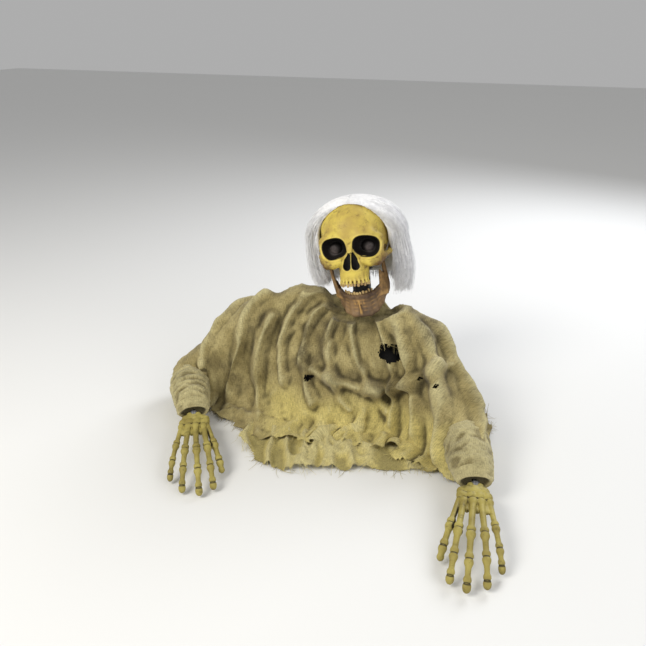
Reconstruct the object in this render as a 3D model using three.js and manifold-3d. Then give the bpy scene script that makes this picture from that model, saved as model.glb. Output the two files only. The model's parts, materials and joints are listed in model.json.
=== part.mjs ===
// A posable half-figure of a skeleton that seems to climb out of the ground: a moulded skull with
// a hinged jaw and a white wig, a stuffed chest under a torn gauze shroud, two padded arms on a
// riveted wire armature, moulded bone hands, and one hooked ground stake.
// Millimetres, +Z up. The figure faces -Y, "left" is the -X side, and the floor is z = 0.
import * as THREE from "three";
import { mergeVertices } from "three/addons/utils/BufferGeometryUtils.js";
import Module from "manifold-3d";

const wasm = await Module();
wasm.setup();

// ---------------------------------------------------------------- driving dimensions
const GAP = 0.4; // clearance kept between neighbouring pieces
const FACET = 0.12; // how far a facet may leave the exact shape when facets are merged
const SHOULDER_HALF = 138; // centre line to shoulder joint
const SHOULDER_Z = 126;
const UPPER_ARM = 144; // shoulder to elbow
const FOREARM = 118; // elbow to wrist
const ORIGIN = [-38.7, 111.3, 0]; // puts the frame's origin under the middle of the whole box

// How each arm lies: heading is degrees outwards from straight ahead, drop is degrees downwards.
const ARMS = {
  left: { side: -1, upper: [57, 35.5], fore: [-34, 4], hand: [-29, 8.2] },
  right: { side: 1, upper: [50, 35.5], fore: [18, 4.5], hand: [9, 7.6] },
};

// The chest is a super-ellipsoid that leans back as it rises and is cut flat at the floor.
const CHEST = { x: 120, y: 62, z: 98, midZ: 68, lean: 0.42 };
const CLOTH = 3; // thickness of a gauze solid
const HEM_Z = 4.2; // lowest edge of the shroud, which leaves room for the rag below it

// The head's frame: X to the right side, Y backwards, Z to the crown, with eye level at 0.
const HEAD = { at: [19, 46, 265], yaw: 10, pitch: -13, roll: -9 };
const CRANIUM = { r: [55, 60, 55], at: [0, 8, 17] };
const CAVITY = { r: [50, 46, 50], at: [0, 16, 19] };
const PARTING_Y = 8; // the skull's two shells meet in this plane
const NECK_Y = 22; // the neck's axis in the head's frame
const BASE_Z = -36; // underside of the skull's base
const SPIGOT_R = 12.5;
const JAW_AXIS = [0, 4, -22];
const JAW_OPEN = 12; // degrees open at rest

const WIRE_R = 1.6;
const RIVET_R = 2;
const EYE = { outer: 6, inner: 2.7, thick: 2.8 };
const STAKE = { r: 2.8, length: 146, hook: 11, at: [-14, 103] };

// ---------------------------------------------------------------- materials
const finish = (color, roughness, metalness = 0) =>
  new THREE.MeshStandardMaterial({ color, roughness, metalness });
const BONE = finish(0xc9a845, 0.55);
const JAW_BONE = finish(0xb08a4a, 0.55);
const HAND_BONE = finish(0xb7a53c, 0.5);
const GAUZE = finish(0x958a62, 0.95);
const PALE_GAUZE = finish(0xc3b871, 0.95);
const BLACK_CLOTH = finish(0x1d1d1b, 0.9);
const HAIR = finish(0xe6e6ea, 0.8);
const NET = finish(0x2a2826, 0.9);
const PLASTIC = finish(0x262626, 0.5);
const STEEL = finish(0x9a9c9e, 0.35, 1);

// ---------------------------------------------------------------- solids
const rad = THREE.MathUtils.degToRad;
const vec = (p) => new THREE.Vector3(...p);

// A closed geometry as a solid that can be cut and joined, moved by a matrix if one is given.
function solid(geometry, matrix) {
  const flat = geometry.index ? geometry.toNonIndexed() : geometry.clone();
  const bare = new THREE.BufferGeometry().setAttribute("position", flat.getAttribute("position"));
  if (matrix) bare.applyMatrix4(matrix);
  const merged = mergeVertices(bare, 1e-3);
  return new wasm.Manifold(
    new wasm.Mesh({
      numProp: 3,
      vertProperties: merged.attributes.position.array,
      triVerts: new Uint32Array(merged.index.array),
    }),
  );
}

function geometryOf(body) {
  const mesh = body.getMesh();
  const geometry = new THREE.BufferGeometry()
    .setAttribute("position", new THREE.BufferAttribute(mesh.vertProperties, 3))
    .setIndex(new THREE.BufferAttribute(mesh.triVerts, 1));
  geometry.computeVertexNormals();
  return geometry;
}

const join = (...bodies) => bodies.reduce((all, body) => all.add(body));
const cut = (body, ...tools) => tools.reduce((left, tool) => left.subtract(tool), body);

function ball([rx, ry, rz], [x, y, z], around = 16, down = 10) {
  const geometry = new THREE.SphereGeometry(1, around, down).rotateX(Math.PI / 2);
  return solid(geometry.scale(rx, ry, rz).translate(x, y, z));
}

function box([x0, y0, z0], [x1, y1, z1], matrix) {
  const geometry = new THREE.BoxGeometry(x1 - x0, y1 - y0, z1 - z0);
  return solid(geometry.translate((x0 + x1) / 2, (y0 + y1) / 2, (z0 + z1) / 2), matrix);
}

// A solid of revolution about Z from [radius, z] points; "X" or "Y" turns its axis that way.
function turned(profile, segments = 16, axis = "Z") {
  const points = profile.map(([r, z]) => new THREE.Vector2(r, z));
  const geometry = new THREE.LatheGeometry(points, segments).rotateX(Math.PI / 2);
  if (axis === "X") geometry.rotateY(Math.PI / 2);
  if (axis === "Y") geometry.rotateX(-Math.PI / 2);
  return solid(geometry);
}

const rod = (r, z0, z1, segments, axis) =>
  turned([[0, z0], [r, z0], [r, z1], [0, z1]], segments, axis);

// A tube along a smooth curve through the points.
function tube(points, r, { sides = 6, steps = 8, straight = false } = {}) {
  const section = new THREE.Shape();
  for (let i = 0; i < sides; i++) {
    const a = (2 * Math.PI * i) / sides;
    section[i ? "lineTo" : "moveTo"](r * Math.cos(a), r * Math.sin(a));
  }
  const path = straight
    ? new THREE.LineCurve3(vec(points[0]), vec(points[1]))
    : new THREE.CatmullRomCurve3(points.map(vec));
  return solid(
    new THREE.ExtrudeGeometry(section, { steps, extrudePath: path, bevelEnabled: false }),
  );
}

// ---------------------------------------------------------------- scene graph
const figure = new THREE.Group();
figure.position.set(...ORIGIN);
const stage = new THREE.Group().add(figure);

function frame(parent, at, rotation = new THREE.Euler()) {
  const group = new THREE.Group();
  group.position.set(...at);
  group.setRotationFromEuler(rotation);
  parent.add(group);
  figure.updateMatrixWorld(true);
  return group;
}

function piece(parent, name, material, body) {
  const mesh = new THREE.Mesh(geometryOf(body.simplify(FACET)), material);
  mesh.name = name;
  parent.add(mesh);
}

// A group's pose inside the figure, for cutting one group's piece by another's.
const poseOf = (group) => figure.matrixWorld.clone().invert().multiply(group.matrixWorld);

// ---------------------------------------------------------------- chest and shroud shapes
const signedPower = (v, power) => Math.sign(v) * Math.abs(v) ** power;

// The chest's surface grown by offset. With a skirt, what lies below the middle hangs straight
// down and flares out to the hem instead of curving back in.
function chestForm(offset, hem = null, flare = 0) {
  const geometry = new THREE.SphereGeometry(1, 20, 11).rotateX(Math.PI / 2);
  const p = geometry.getAttribute("position");
  for (let i = 0; i < p.count; i++) {
    const [x, y, z] = [p.getX(i), p.getY(i), p.getZ(i)];
    const skirt = hem !== null && z < 0;
    const ring = skirt ? (Math.hypot(x, y) < 1e-6 ? 0 : 1 / Math.hypot(x, y)) : 1;
    const grow = skirt ? 1 + flare * Math.min(1, -z * 1.6) : 1;
    const height = skirt
      ? CHEST.midZ - (CHEST.midZ - hem) * Math.min(1, -z * 1.6)
      : CHEST.midZ + (CHEST.z + offset) * z;
    const lean = CHEST.lean * (skirt ? 0 : height - CHEST.midZ);
    const flatEnd = skirt && z < -0.999 ? 0 : ring * grow;
    p.setXYZ(
      i,
      (CHEST.x + offset) * signedPower(x * flatEnd, 0.8),
      (CHEST.y + offset) * signedPower(y * flatEnd, 0.9) + lean,
      height,
    );
  }
  return solid(geometry);
}

// ---------------------------------------------------------------- head
function teeth(radiusX, radiusY, centre, count, spread, size) {
  const row = [];
  for (let i = 0; i < count; i++) {
    const a = rad(-spread + (2 * spread * i) / (count - 1));
    const at = [radiusX * Math.sin(a), centre[1] - radiusY * Math.cos(a), centre[2]];
    row.push(ball(size, at, 5, 4));
  }
  return join(...row);
}

const both = (make) => [make(-1), make(1)];

// The braincase, grown by a thickness.
const cranium = (grow = 0) => ball(CRANIUM.r.map((r) => r + grow), CRANIUM.at, 20, 10);

// The brain space, with a flat floor for the washer and a hole for the neck's spigot.
function cavity() {
  const neck = new THREE.Matrix4().makeTranslation(0, NECK_Y, 0);
  const floor = solid(new THREE.CylinderGeometry(19, 19, 14, 20).rotateX(Math.PI / 2), neck);
  const hole = solid(
    new THREE.CylinderGeometry(SPIGOT_R + 0.9, SPIGOT_R + 0.9, 30, 24).rotateX(Math.PI / 2),
    new THREE.Matrix4().makeTranslation(0, NECK_Y, -40),
  );
  return join(
    ball(CAVITY.r, CAVITY.at, 16, 10),
    floor.translate([0, 0, BASE_Z + 11]),
    hole,
    box([-32, -8, -60], [32, 60, BASE_Z]),
  );
}

const pegPlaces = () => [
  ["top", [0, CRANIUM.at[2] + 52.4]],
  ["left", [-52.4, CRANIUM.at[2]]],
  ["right", [52.4, CRANIUM.at[2]]],
];

const peg = (r, reach, [x, z]) =>
  rod(r, PARTING_Y - reach, PARTING_Y + reach, 8, "Y").translate([x, 0, z]);

const pegHoles = () => pegPlaces().map(([, place]) => peg(1.75, 7, place));

// slots for the jaw's two blades
const bladeRoom = () => both((s) => box([s * 43.6 - 3.8, -30, -80], [s * 43.6 + 3.8, 16, -12]));

function skullFront() {
  const outside = join(
    cranium(),
    ball([43, 15, 10], [0, -42, 15], 12, 6), // brow
    ball([27, 28, 30], [0, -31, -30], 12, 8), // upper jaw
    ball([12, 10, 12], [0, -50, -4], 8, 6), // bridge of the nose
    ...both((s) => ball([15, 19, 15], [s * 43, -30, -18], 10, 6)), // cheekbones
    ...both((s) =>
      tube([[s * 52, -22, -19], [s * 57, -4, -18], [s * 56, 12, -15], [s * 48, 26, -8]], 4.2, {
        steps: 5,
      }),
    ),
    rod(1, -55, -30, 16).scale([25, 26, 1]).translate([0, -32, 0]), // gum
    teeth(22.5, 24.5, [0, -32, -56], 10, 72, [2.9, 2.6, 4.6]),
  );
  return cut(
    outside,
    cavity(),
    ...both((s) => ball([19, 25, 15.5], [s * 26, -54, 0], 14, 8)), // eye sockets
    ...both((s) => ball([6.5, 13, 13], [s * 6, -62, -24], 10, 8)), // nose
    ball([17, 23, 14], [0, -21, -58], 10, 6), // palate
    ...bladeRoom(),
    rod(2.2, -60, -30, 10, "X").translate(JAW_AXIS), // pilot holes for the jaw's screws
    rod(2.2, 30, 60, 10, "X").translate(JAW_AXIS),
    ...pegHoles(),
    box([-90, PARTING_Y - GAP / 2, -90], [90, 110, 110]),
  );
}

function skullBack() {
  return cut(
    cranium(),
    cavity(),
    ...pegHoles(),
    ...bladeRoom(),
    box([-90, -110, -90], [90, PARTING_Y + GAP / 2, 110]),
  );
}

// In the jaw's frame, closed: X is the hinge, the chin is at -Y and -Z.
function jaw() {
  const bow = new THREE.Shape();
  bow.absellipse(0, 0, 45, 63, Math.PI, 2 * Math.PI, false);
  bow.absellipse(0, 0, 36.5, 54, 2 * Math.PI, Math.PI, true);
  const body = solid(
    new THREE.ExtrudeGeometry(bow, { depth: 24, bevelEnabled: false, curveSegments: 10 }),
    new THREE.Matrix4().makeRotationX(rad(12)).setPosition(0, 0, -58),
  );
  // the blade seen from the side: the hinge's knuckle, the corner, the pointed front and the notch
  const outline = [[5, 4], [2, -20], [-3, -44], [-16, -54], [-26, -42], [-21, -20], [-21, 1],
    [-16, 5], [-11, -9], [-6, -8], [-4, 5]];
  const side = new THREE.Shape(outline.map(([y, z]) => new THREE.Vector2(y, z)));
  const ramus = (s) =>
    solid(
      new THREE.ExtrudeGeometry(side, { depth: 5.5, bevelEnabled: false }),
      new THREE.Matrix4()
        .makeTranslation(s > 0 ? 41 : -46.5, 0, 0)
        .multiply(new THREE.Matrix4().makeBasis(vec([0, 1, 0]), vec([0, 0, 1]), vec([1, 0, 0]))),
    );
  return cut(
    join(
      body,
      ...both(ramus),
      ball([15, 7, 11], [0, -57, -62], 12, 8), // chin
      teeth(38, 57, [0, 0, -44.2], 10, 31, [2.5, 2.4, 4.6]),
    ),
    rod(RIVET_R + 0.4, -60, 60, 12, "X"),
  );
}

const jawScrew = (s) =>
  join(rod(1.7, 32, 48, 10, "X"), rod(4, 47.2, 49.6, 12, "X")).scale([s, 1, 1]);

// Cuts away what lies in front of the hairline, which slopes back from the forehead to the ears.
const hairline = (shift) =>
  box([-120, -160, -160], [120, shift, 160], new THREE.Matrix4().makeRotationX(rad(23)));

function wigCap() {
  return cut(cranium(2.4), cranium(1), hairline(0), box([-90, -90, -90], [90, 90, -14]));
}

function wigHair() {
  const oval = (rx, ry, y, z0, z1) =>
    solid(
      new THREE.CylinderGeometry(1, 1, z1 - z0, 20).rotateX(Math.PI / 2).scale(rx, ry, 1),
      new THREE.Matrix4().makeTranslation(0, y, (z0 + z1) / 2),
    );
  return cut(
    join(ball([75, 68, 66], [0, 14, 14], 20, 10), oval(78, 64, 16, -60, 8)),
    join(cranium(3.4), oval(67, 56, 12, -80, 6)),
    cut(hairline(-2), box([-120, -160, -160], [120, 160, 0])),
    box([-120, -160, -160], [120, 4, 0.01]),
  );
}

function neckPost() {
  const spigotTop = BASE_Z + 4.3;
  const post = turned(
    [[0, -104], [15, -104], [15, BASE_Z - 8], [20, BASE_Z - 6], [20, BASE_Z - GAP],
      [SPIGOT_R, BASE_Z - GAP], [SPIGOT_R, spigotTop], [0, spigotTop]],
    20,
  );
  return cut(post, rod(2.5, -62, 0, 10)).translate([0, NECK_Y, 0]);
}

const neckScrew = () =>
  join(rod(2, -58, -29, 10), rod(5, -30 + GAP, -27, 12)).translate([0, NECK_Y, 0]);

function neckWasher() {
  return turned([[2.6, -31.3], [15, -31.3], [15, -30], [2.6, -30], [2.6, -31.3]], 20)
    .translate([0, NECK_Y, 0]);
}

// ---------------------------------------------------------------- armature
// An eye is the flattened, drilled end of a wire; level 1 is above the joint's middle, -1 below.
function eye(level) {
  const z0 = level > 0 ? GAP / 2 : -GAP / 2 - EYE.thick;
  const z1 = z0 + EYE.thick;
  const [inner, outer] = [EYE.inner, EYE.outer];
  return turned([[inner, z0], [outer, z0], [outer, z1], [inner, z1], [inner, z0]], 12);
}

function rivet() {
  const reach = EYE.thick + GAP / 2 + GAP;
  return turned(
    [[0, -reach - 1.4], [4.4, -reach - 1.4], [4.4, -reach], [RIVET_R, -reach],
      [RIVET_R, reach], [4.4, reach], [4.4, reach + 1.4], [0, reach + 1.4]],
    12,
  );
}

const EYE_Z = EYE.thick / 2 + GAP / 2;

// ---------------------------------------------------------------- limbs, along local X
const alongX = (profile, segments) => turned(profile, segments, "X");

// A stuffed tube with rounded ends and a bore for the wire.
function pad(start, end, r0, r1, bore) {
  const profile = [[bore, start]];
  for (let i = 0; i <= 3; i++) {
    const a = rad(20 + (70 * i) / 3);
    profile.push([r0 * Math.sin(a), start + r0 * 0.8 * (1 - Math.cos(a))]);
  }
  for (let i = 3; i >= 0; i--) {
    const a = rad(20 + (70 * i) / 3);
    profile.push([r1 * Math.sin(a), end - r1 * 0.8 * (1 - Math.cos(a))]);
  }
  profile.push([bore, end], [bore, start]);
  return alongX(profile, 12);
}

const sleeve = (start, end, r0, r1, wall) =>
  alongX([[r0 - wall, start], [r0, start], [r1, end], [r1 - wall, end], [r0 - wall, start]], 20);

// ---------------------------------------------------------------- hand, along local X, palm down
// Each digit: where it leaves the wrist block, its spread in degrees, and its bones' lengths.
// From the thumb to the little finger; bend is each bone's slope above level. The middle fingertip
// is 171.5 mm from the wrist, so both arms span 1143 mm (45 in) when straight.
const DIGITS = [
  { base: [20, 17, 2], spread: 12, bones: [60, 33, 16], bend: [4, -7, -35], r: 5.2 },
  { base: [34, 14, 5], spread: 6, bones: [58, 36, 26, 8], bend: [8, -6, -19, -55], r: 5.2 },
  { base: [34, 3, 6], spread: 2, bones: [62, 39, 28, 8.5], bend: [8, -4, -20, -55], r: 5.3 },
  { base: [33, -7, 5], spread: -4, bones: [60, 33, 27, 8], bend: [7, -6, -20, -55], r: 5.1 },
  { base: [30, -17, 3], spread: -9, bones: [46, 31, 20, 8], bend: [5, -5, -22, -50], r: 4.6 },
];

function bone(length, r) {
  const profile = [[0, -r * 0.5], [r, r * 0.2], [r * 0.8, length * 0.4],
    [r * 1.05, length - r * 0.4], [0, length + r * 0.5]];
  return turned(profile, 5, "X").scale([1, 1, 0.85]);
}

function hand(side) {
  const parts = [ball([15, 21, 8.5], [24, 0, 1], 10, 6)];
  for (const digit of DIGITS) {
    const at = vec(digit.base);
    digit.bones.forEach((length, i) => {
      const turn = new THREE.Euler(0, -rad(digit.bend[i]), rad(digit.spread), "ZYX");
      const matrix = new THREE.Matrix4().makeRotationFromEuler(turn).setPosition(at);
      const r = digit.r * (1 - 0.07 * i);
      parts.push(bone(length, r).transform(matrix.toArray()));
      at.add(vec([length, 0, 0]).applyEuler(turn));
    });
  }
  const whole = join(...parts);
  return cut(side > 0 ? whole.mirror([0, 1, 0]) : whole, rod(2.3, 0, 22, 8, "X"));
}

// ---------------------------------------------------------------- assembly: head
const head = frame(
  figure,
  HEAD.at,
  new THREE.Euler(rad(HEAD.pitch), rad(HEAD.roll), rad(HEAD.yaw), "ZYX"),
);
piece(head, "skull_front", BONE, skullFront());
piece(head, "skull_back", BONE, skullBack());
for (const [name, place] of pegPlaces()) {
  piece(head, `skull_peg_${name}`, PLASTIC, peg(1.35, 6.4, place));
}
piece(head, "wig_cap", NET, wigCap());
piece(head, "wig_hair", HAIR, wigHair());
piece(head, "neck_screw", STEEL, neckScrew());
piece(head, "neck_washer", STEEL, neckWasher());

const jawFrame = frame(head, JAW_AXIS, new THREE.Euler(rad(JAW_OPEN), 0, 0));
piece(jawFrame, "jaw", JAW_BONE, jaw());
const jawPivots = frame(head, JAW_AXIS);
piece(jawPivots, "jaw_screw_left", STEEL, jawScrew(-1));
piece(jawPivots, "jaw_screw_right", STEEL, jawScrew(1));

// ---------------------------------------------------------------- assembly: chest
const neckFoot = vec([0, NECK_Y, -96]).applyMatrix4(poseOf(head));
const yokePath = (reach) => [
  [-reach, 0, SHOULDER_Z + EYE_Z],
  [-SHOULDER_HALF * 0.62, 12, SHOULDER_Z + 12],
  [neckFoot.x - 22, neckFoot.y, neckFoot.z],
  [neckFoot.x + 22, neckFoot.y, neckFoot.z],
  [SHOULDER_HALF * 0.66, 12, SHOULDER_Z + 12],
  [reach, 0, SHOULDER_Z + EYE_Z],
];
const shoulderAt = (side) => [side * SHOULDER_HALF, 0, SHOULDER_Z];
const yoke = cut(
  join(
    tube(yokePath(SHOULDER_HALF - 5.4), WIRE_R, { steps: 16 }),
    ...both((s) => eye(1).translate(shoulderAt(s))),
  ),
  ...both((s) => rod(EYE.inner, -10, 10, 12).translate(shoulderAt(s))),
);
const yokeRoom = tube(yokePath(SHOULDER_HALF + 6), WIRE_R + 1.2, { steps: 16 });
const post = neckPost().transform(poseOf(head).toArray());
const postRoom = rod(15 + GAP + 0.4, -104.5, -40, 20)
  .translate([0, NECK_Y, 0])
  .transform(poseOf(head).toArray());

// where the chin passes when the open jaw turns with the head
const chinRoom = cut(rod(72, -112, -40, 24), rod(19, -120, -30), box([-90, 16, -130], [90, 90, -30]))
  .translate([0, NECK_Y, 0])
  .transform(poseOf(head).toArray());

piece(figure, "yoke_wire", STEEL, yoke);
piece(figure, "neck_post", PLASTIC, cut(post, yokeRoom));
const floorCut = box([-400, -400, -200], [400, 400, 0]);
piece(figure, "chest_pad", BLACK_CLOTH, cut(chestForm(0), floorCut, yokeRoom, postRoom, chinRoom));

// ---------------------------------------------------------------- assembly: arms
function direction([heading, drop], side) {
  const [h, d] = [rad(heading), rad(drop)];
  return vec([side * Math.sin(h) * Math.cos(d), -Math.cos(h) * Math.cos(d), -Math.sin(d)]);
}

// A frame at a joint, with X along the limb, Y level and Z as near to upright as it can be.
function limbFrame(at, along) {
  const y = new THREE.Vector3(0, 0, 1).cross(along).normalize();
  const basis = new THREE.Matrix4().makeBasis(along, y, along.clone().cross(y));
  return frame(figure, at.toArray(), new THREE.Euler().setFromRotationMatrix(basis));
}

function arm(name, { side, upper, fore, hand: palm }) {
  const shoulder = vec(shoulderAt(side));
  const upperWay = direction(upper, side);
  const elbow = shoulder.clone().addScaledVector(upperWay, UPPER_ARM);
  const foreWay = direction(fore, side);
  const wrist = elbow.clone().addScaledVector(foreWay, FOREARM);
  const upperFrame = limbFrame(shoulder, upperWay);
  const foreFrame = limbFrame(elbow, foreWay);
  const handFrame = limbFrame(wrist, direction(palm, side));
  const level = (at) => frame(figure, at.toArray());
  const drill = (at) => rod(EYE.inner, -12, 12, 12).translate(at.toArray());

  // wires run from eye to eye; the upper eye at a joint belongs to the piece nearer the chest
  const low = vec([0, 0, -EYE_Z]);
  const high = vec([0, 0, EYE_Z]);
  const from = (at, way, s, shift) => at.clone().addScaledVector(way, s).add(shift).toArray();
  const flatWay = (way) => vec([way.x, way.y, 0]).normalize();
  const upperWire = join(
    tube(
      [from(shoulder, flatWay(upperWay), 5.4, low), from(shoulder, upperWay, 18, low),
        from(shoulder, upperWay, UPPER_ARM / 2, vec([0, 0, 0])),
        from(elbow, upperWay, -18, high), from(elbow, flatWay(upperWay), -5.4, high)],
      WIRE_R,
      { steps: 10 },
    ),
    eye(-1).translate(shoulder.toArray()),
    eye(1).translate(elbow.toArray()),
  );
  piece(figure, `${name}_upper_arm_wire`, STEEL, cut(upperWire, drill(shoulder), drill(elbow)));
  piece(level(shoulder), `${name}_shoulder_rivet`, STEEL, rivet());
  piece(level(elbow), `${name}_elbow_rivet`, STEEL, rivet());

  // the wrist's eyes stand on edge, because the wrist bends up and down
  const edge = new THREE.Matrix4().makeRotationX(Math.PI / 2);
  const onEdge = (body) => body.transform(edge.toArray());
  const inHand = (p) => vec(p).applyMatrix4(handFrame.matrix).toArray();
  const wristDrill = onEdge(rod(EYE.inner, -12, 12, 12));
  const foreWire = join(
    tube(
      [from(elbow, flatWay(foreWay), 5.4, low), from(elbow, foreWay, 20, low),
        from(elbow, foreWay, FOREARM / 2, vec([0, 0, 0])), inHand([-16, -EYE_Z, 0]),
        inHand([-5.4, -EYE_Z, 0])],
      WIRE_R,
      { steps: 10 },
    ),
    eye(-1).translate(elbow.toArray()),
    onEdge(eye(1)).transform(handFrame.matrix.toArray()),
  );
  const foreHoles = [drill(elbow), wristDrill.transform(handFrame.matrix.toArray())];
  piece(figure, `${name}_forearm_wire`, STEEL, cut(foreWire, ...foreHoles));
  piece(handFrame, `${name}_wrist_rivet`, STEEL, onEdge(rivet()));
  const link = join(
    onEdge(eye(-1)),
    tube([[5.4, EYE_Z, 0], [9, 0.4, 0], [13, 0, 0], [21, 0, 0]], WIRE_R, { sides: 6, steps: 5 }),
  );
  piece(handFrame, `${name}_wrist_link`, STEEL, cut(link, wristDrill));
  piece(handFrame, `${name}_hand`, HAND_BONE, hand(side));

  piece(upperFrame, `${name}_upper_arm_pad`, BLACK_CLOTH, pad(20, UPPER_ARM - 29, 25, 23, 4.2));
  piece(foreFrame, `${name}_forearm_pad`, BLACK_CLOTH, pad(28, FOREARM - 14, 23, 22, 4.2));
  piece(foreFrame, `${name}_forearm_sleeve`, GAUZE, sleeve(34, FOREARM - 13.5, 28, 26, 2.2));
  piece(foreFrame, `${name}_cuff`, GAUZE, sleeve(FOREARM - 13, FOREARM - 5, 26.5, 26.5, 2.4));

  // the shroud's own sleeve hangs round the upper arm and stops short of the chest and the elbow
  const inner = side * 131;
  const far = -side * 300;
  const inwards = box([Math.min(inner, far), -300, -300], [Math.max(inner, far), 300, 300]);
  const wide = sleeve(-10, UPPER_ARM - 36, 43, 38, CLOTH).transform(upperFrame.matrix.toArray());
  piece(figure, `shroud_${name}_sleeve`, GAUZE, cut(wide, inwards));
}

for (const [name, pose] of Object.entries(ARMS)) arm(name, pose);

// ---------------------------------------------------------------- assembly: shroud and rag
function armRoom(name) {
  const { side, upper } = ARMS[name];
  const way = direction(upper, side);
  const at = shoulderAt(side);
  const end = vec(at).addScaledVector(way, 200).toArray();
  const passage = tube([at, end], 58, { sides: 12, steps: 1, straight: true });
  return join(ball([50, 50, 50], at, 12, 8), passage);
}

const neckRoom = rod(40, -140, -40, 20)
  .translate([0, NECK_Y, 0])
  .transform(poseOf(head).toArray());
const shroud = cut(
  chestForm(9, HEM_Z, 0.2),
  cut(chestForm(9 - CLOTH, HEM_Z - 6, 0.2), box([-1, -1, -1], [1, 1, 0])),
  armRoom("left"),
  armRoom("right"),
  neckRoom,
  chinRoom,
  yokeRoom,
);
piece(figure, "shroud_body", GAUZE, shroud);

function frontRag() {
  const outline = new THREE.Shape();
  const teethCount = 11;
  outline.moveTo(-92, -77);
  for (let i = 0; i <= teethCount; i++) {
    const x = -104 + (208 * i) / teethCount;
    outline.lineTo(x, -146 - 14 * (i % 2) - 12 * Math.cos((x / 104) * (Math.PI / 2)));
  }
  outline.lineTo(92, -77);
  return solid(
    new THREE.ExtrudeGeometry(outline, { depth: 3, bevelEnabled: false }),
    new THREE.Matrix4().makeTranslation(0, 0, 0.5),
  );
}
piece(figure, "front_rag", PALE_GAUZE, frontRag());

// ---------------------------------------------------------------- assembly: ground stake
const [stakeX, stakeY] = STAKE.at;
const hookTop = STAKE.length - STAKE.hook;
const stake = join(
  turned([[0, 2], [STAKE.r, 16], [STAKE.r, hookTop], [0, hookTop]], 10),
  tube(
    [[0, 0, hookTop - 3], [0, 0, hookTop], [0, STAKE.hook * 0.35, STAKE.length - 4],
      [0, STAKE.hook, STAKE.length - 2], [0, STAKE.hook * 1.65, STAKE.length - 5],
      [0, STAKE.hook * 2, STAKE.length - 13]],
    STAKE.r,
    { sides: 8, steps: 12 },
  ),
).translate([stakeX, stakeY, 0]);
const loop = cut(
  join(
    rod(STAKE.r + 3, 34, 58, 12).translate([stakeX, stakeY, 0]),
    box([stakeX - 9, stakeY - 40, 36], [stakeX + 9, stakeY, 56]),
  ),
  rod(STAKE.r + 0.7, 30, 62, 12).translate([stakeX, stakeY, 0]),
  chestForm(9 + GAP, HEM_Z - 2, 0.2),
);
piece(figure, "ground_stake", STEEL, stake);
piece(figure, "stake_loop", BLACK_CLOTH, loop);

export default stage;
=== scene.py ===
"""The looks of a posable half-figure of a skeleton that climbs out of the ground.

Bone pieces are modelled as distance fields and skinned, the shroud is a simulated sheet of gauze,
and the hair is combed strand by strand. Metres, +Z up, in the CAD model's frame. Shapes of the
head and hands are written in millimetres in frames of their own.
"""
import json
import math

import bpy
import numpy as np
from mathutils import Matrix, Vector, noise


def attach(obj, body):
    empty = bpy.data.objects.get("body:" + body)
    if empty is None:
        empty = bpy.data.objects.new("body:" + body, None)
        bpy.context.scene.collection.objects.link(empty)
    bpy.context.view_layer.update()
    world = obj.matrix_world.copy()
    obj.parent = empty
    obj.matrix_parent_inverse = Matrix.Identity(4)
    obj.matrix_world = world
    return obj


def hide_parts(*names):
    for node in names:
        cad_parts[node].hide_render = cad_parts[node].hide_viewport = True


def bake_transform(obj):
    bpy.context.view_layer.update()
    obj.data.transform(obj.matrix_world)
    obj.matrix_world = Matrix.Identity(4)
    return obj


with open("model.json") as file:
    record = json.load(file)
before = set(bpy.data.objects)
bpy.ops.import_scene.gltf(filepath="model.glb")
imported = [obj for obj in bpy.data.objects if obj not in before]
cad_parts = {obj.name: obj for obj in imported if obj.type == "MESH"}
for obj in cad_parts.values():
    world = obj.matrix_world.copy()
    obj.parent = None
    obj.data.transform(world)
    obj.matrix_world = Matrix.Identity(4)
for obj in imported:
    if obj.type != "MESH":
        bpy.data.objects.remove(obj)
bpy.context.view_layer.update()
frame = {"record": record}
JOINTS = {j["name"]: j for j in frame["record"]["behaviour"]["joints"]}
MM = 0.001
SIDES = {"left": -1, "right": 1}


# ------------------------------------------------------------------ frames taken from the joints
def unit(v):
    v = np.asarray(v, float)
    return v / np.linalg.norm(v)


def place(x, z, origin):
    """4x4 of a frame with millimetre axes along x and z, at origin in metres."""
    x, z = unit(x), unit(z)
    m = np.eye(4)
    m[:3, :3] = np.column_stack([x, np.cross(z, x), z]) * MM
    m[:3, 3] = origin
    return m


def moved(m, p):
    """Points p through the 4x4 m."""
    return np.asarray(p, float) @ m[:3, :3].T + m[:3, 3]


JAW_AT = (0, 4, -22)  # the jaw's hinge in the head's frame, whose origin is between the eyes
JAW_OPEN = 12  # degrees
HEAD = place(JOINTS["jaw_open"]["axis"], JOINTS["head_turn"]["axis"], (0, 0, 0))
HEAD[:3, 3] = np.array(JOINTS["jaw_open"]["pos_m"]) - moved(HEAD, JAW_AT)
tilt = math.radians(JAW_OPEN)
JAW = HEAD @ np.array(Matrix.Translation(JAW_AT) @ Matrix.Rotation(tilt, 4, "X"))
ASKEW = 0.14  # the loose jaw hangs to one side: its lean in x for every millimetre below the hinge
JAW_NARROW = 0.975  # how wide the jaw is, against the width its shape is written in
hung = np.eye(4)
hung[0] = (JAW_NARROW, 0, -ASKEW, ASKEW * JAW_AT[2])
JAW_HUNG = JAW @ hung

HAND_DROP = {"left": 8.2, "right": 7.6}  # degrees that each hand points below level


def hand_frame(side):
    """X along the middle finger, Y level, Z out of the back of the hand."""
    joint = JOINTS[f"{side}_wrist_lift"]
    across = -unit(joint["axis"])
    level = np.cross(across, (0, 0, 1))
    drop = math.radians(HAND_DROP[side])
    along = level * math.cos(drop) - np.array([0, 0, math.sin(drop)])
    return place(along, np.cross(along, across), joint["pos_m"])


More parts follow.
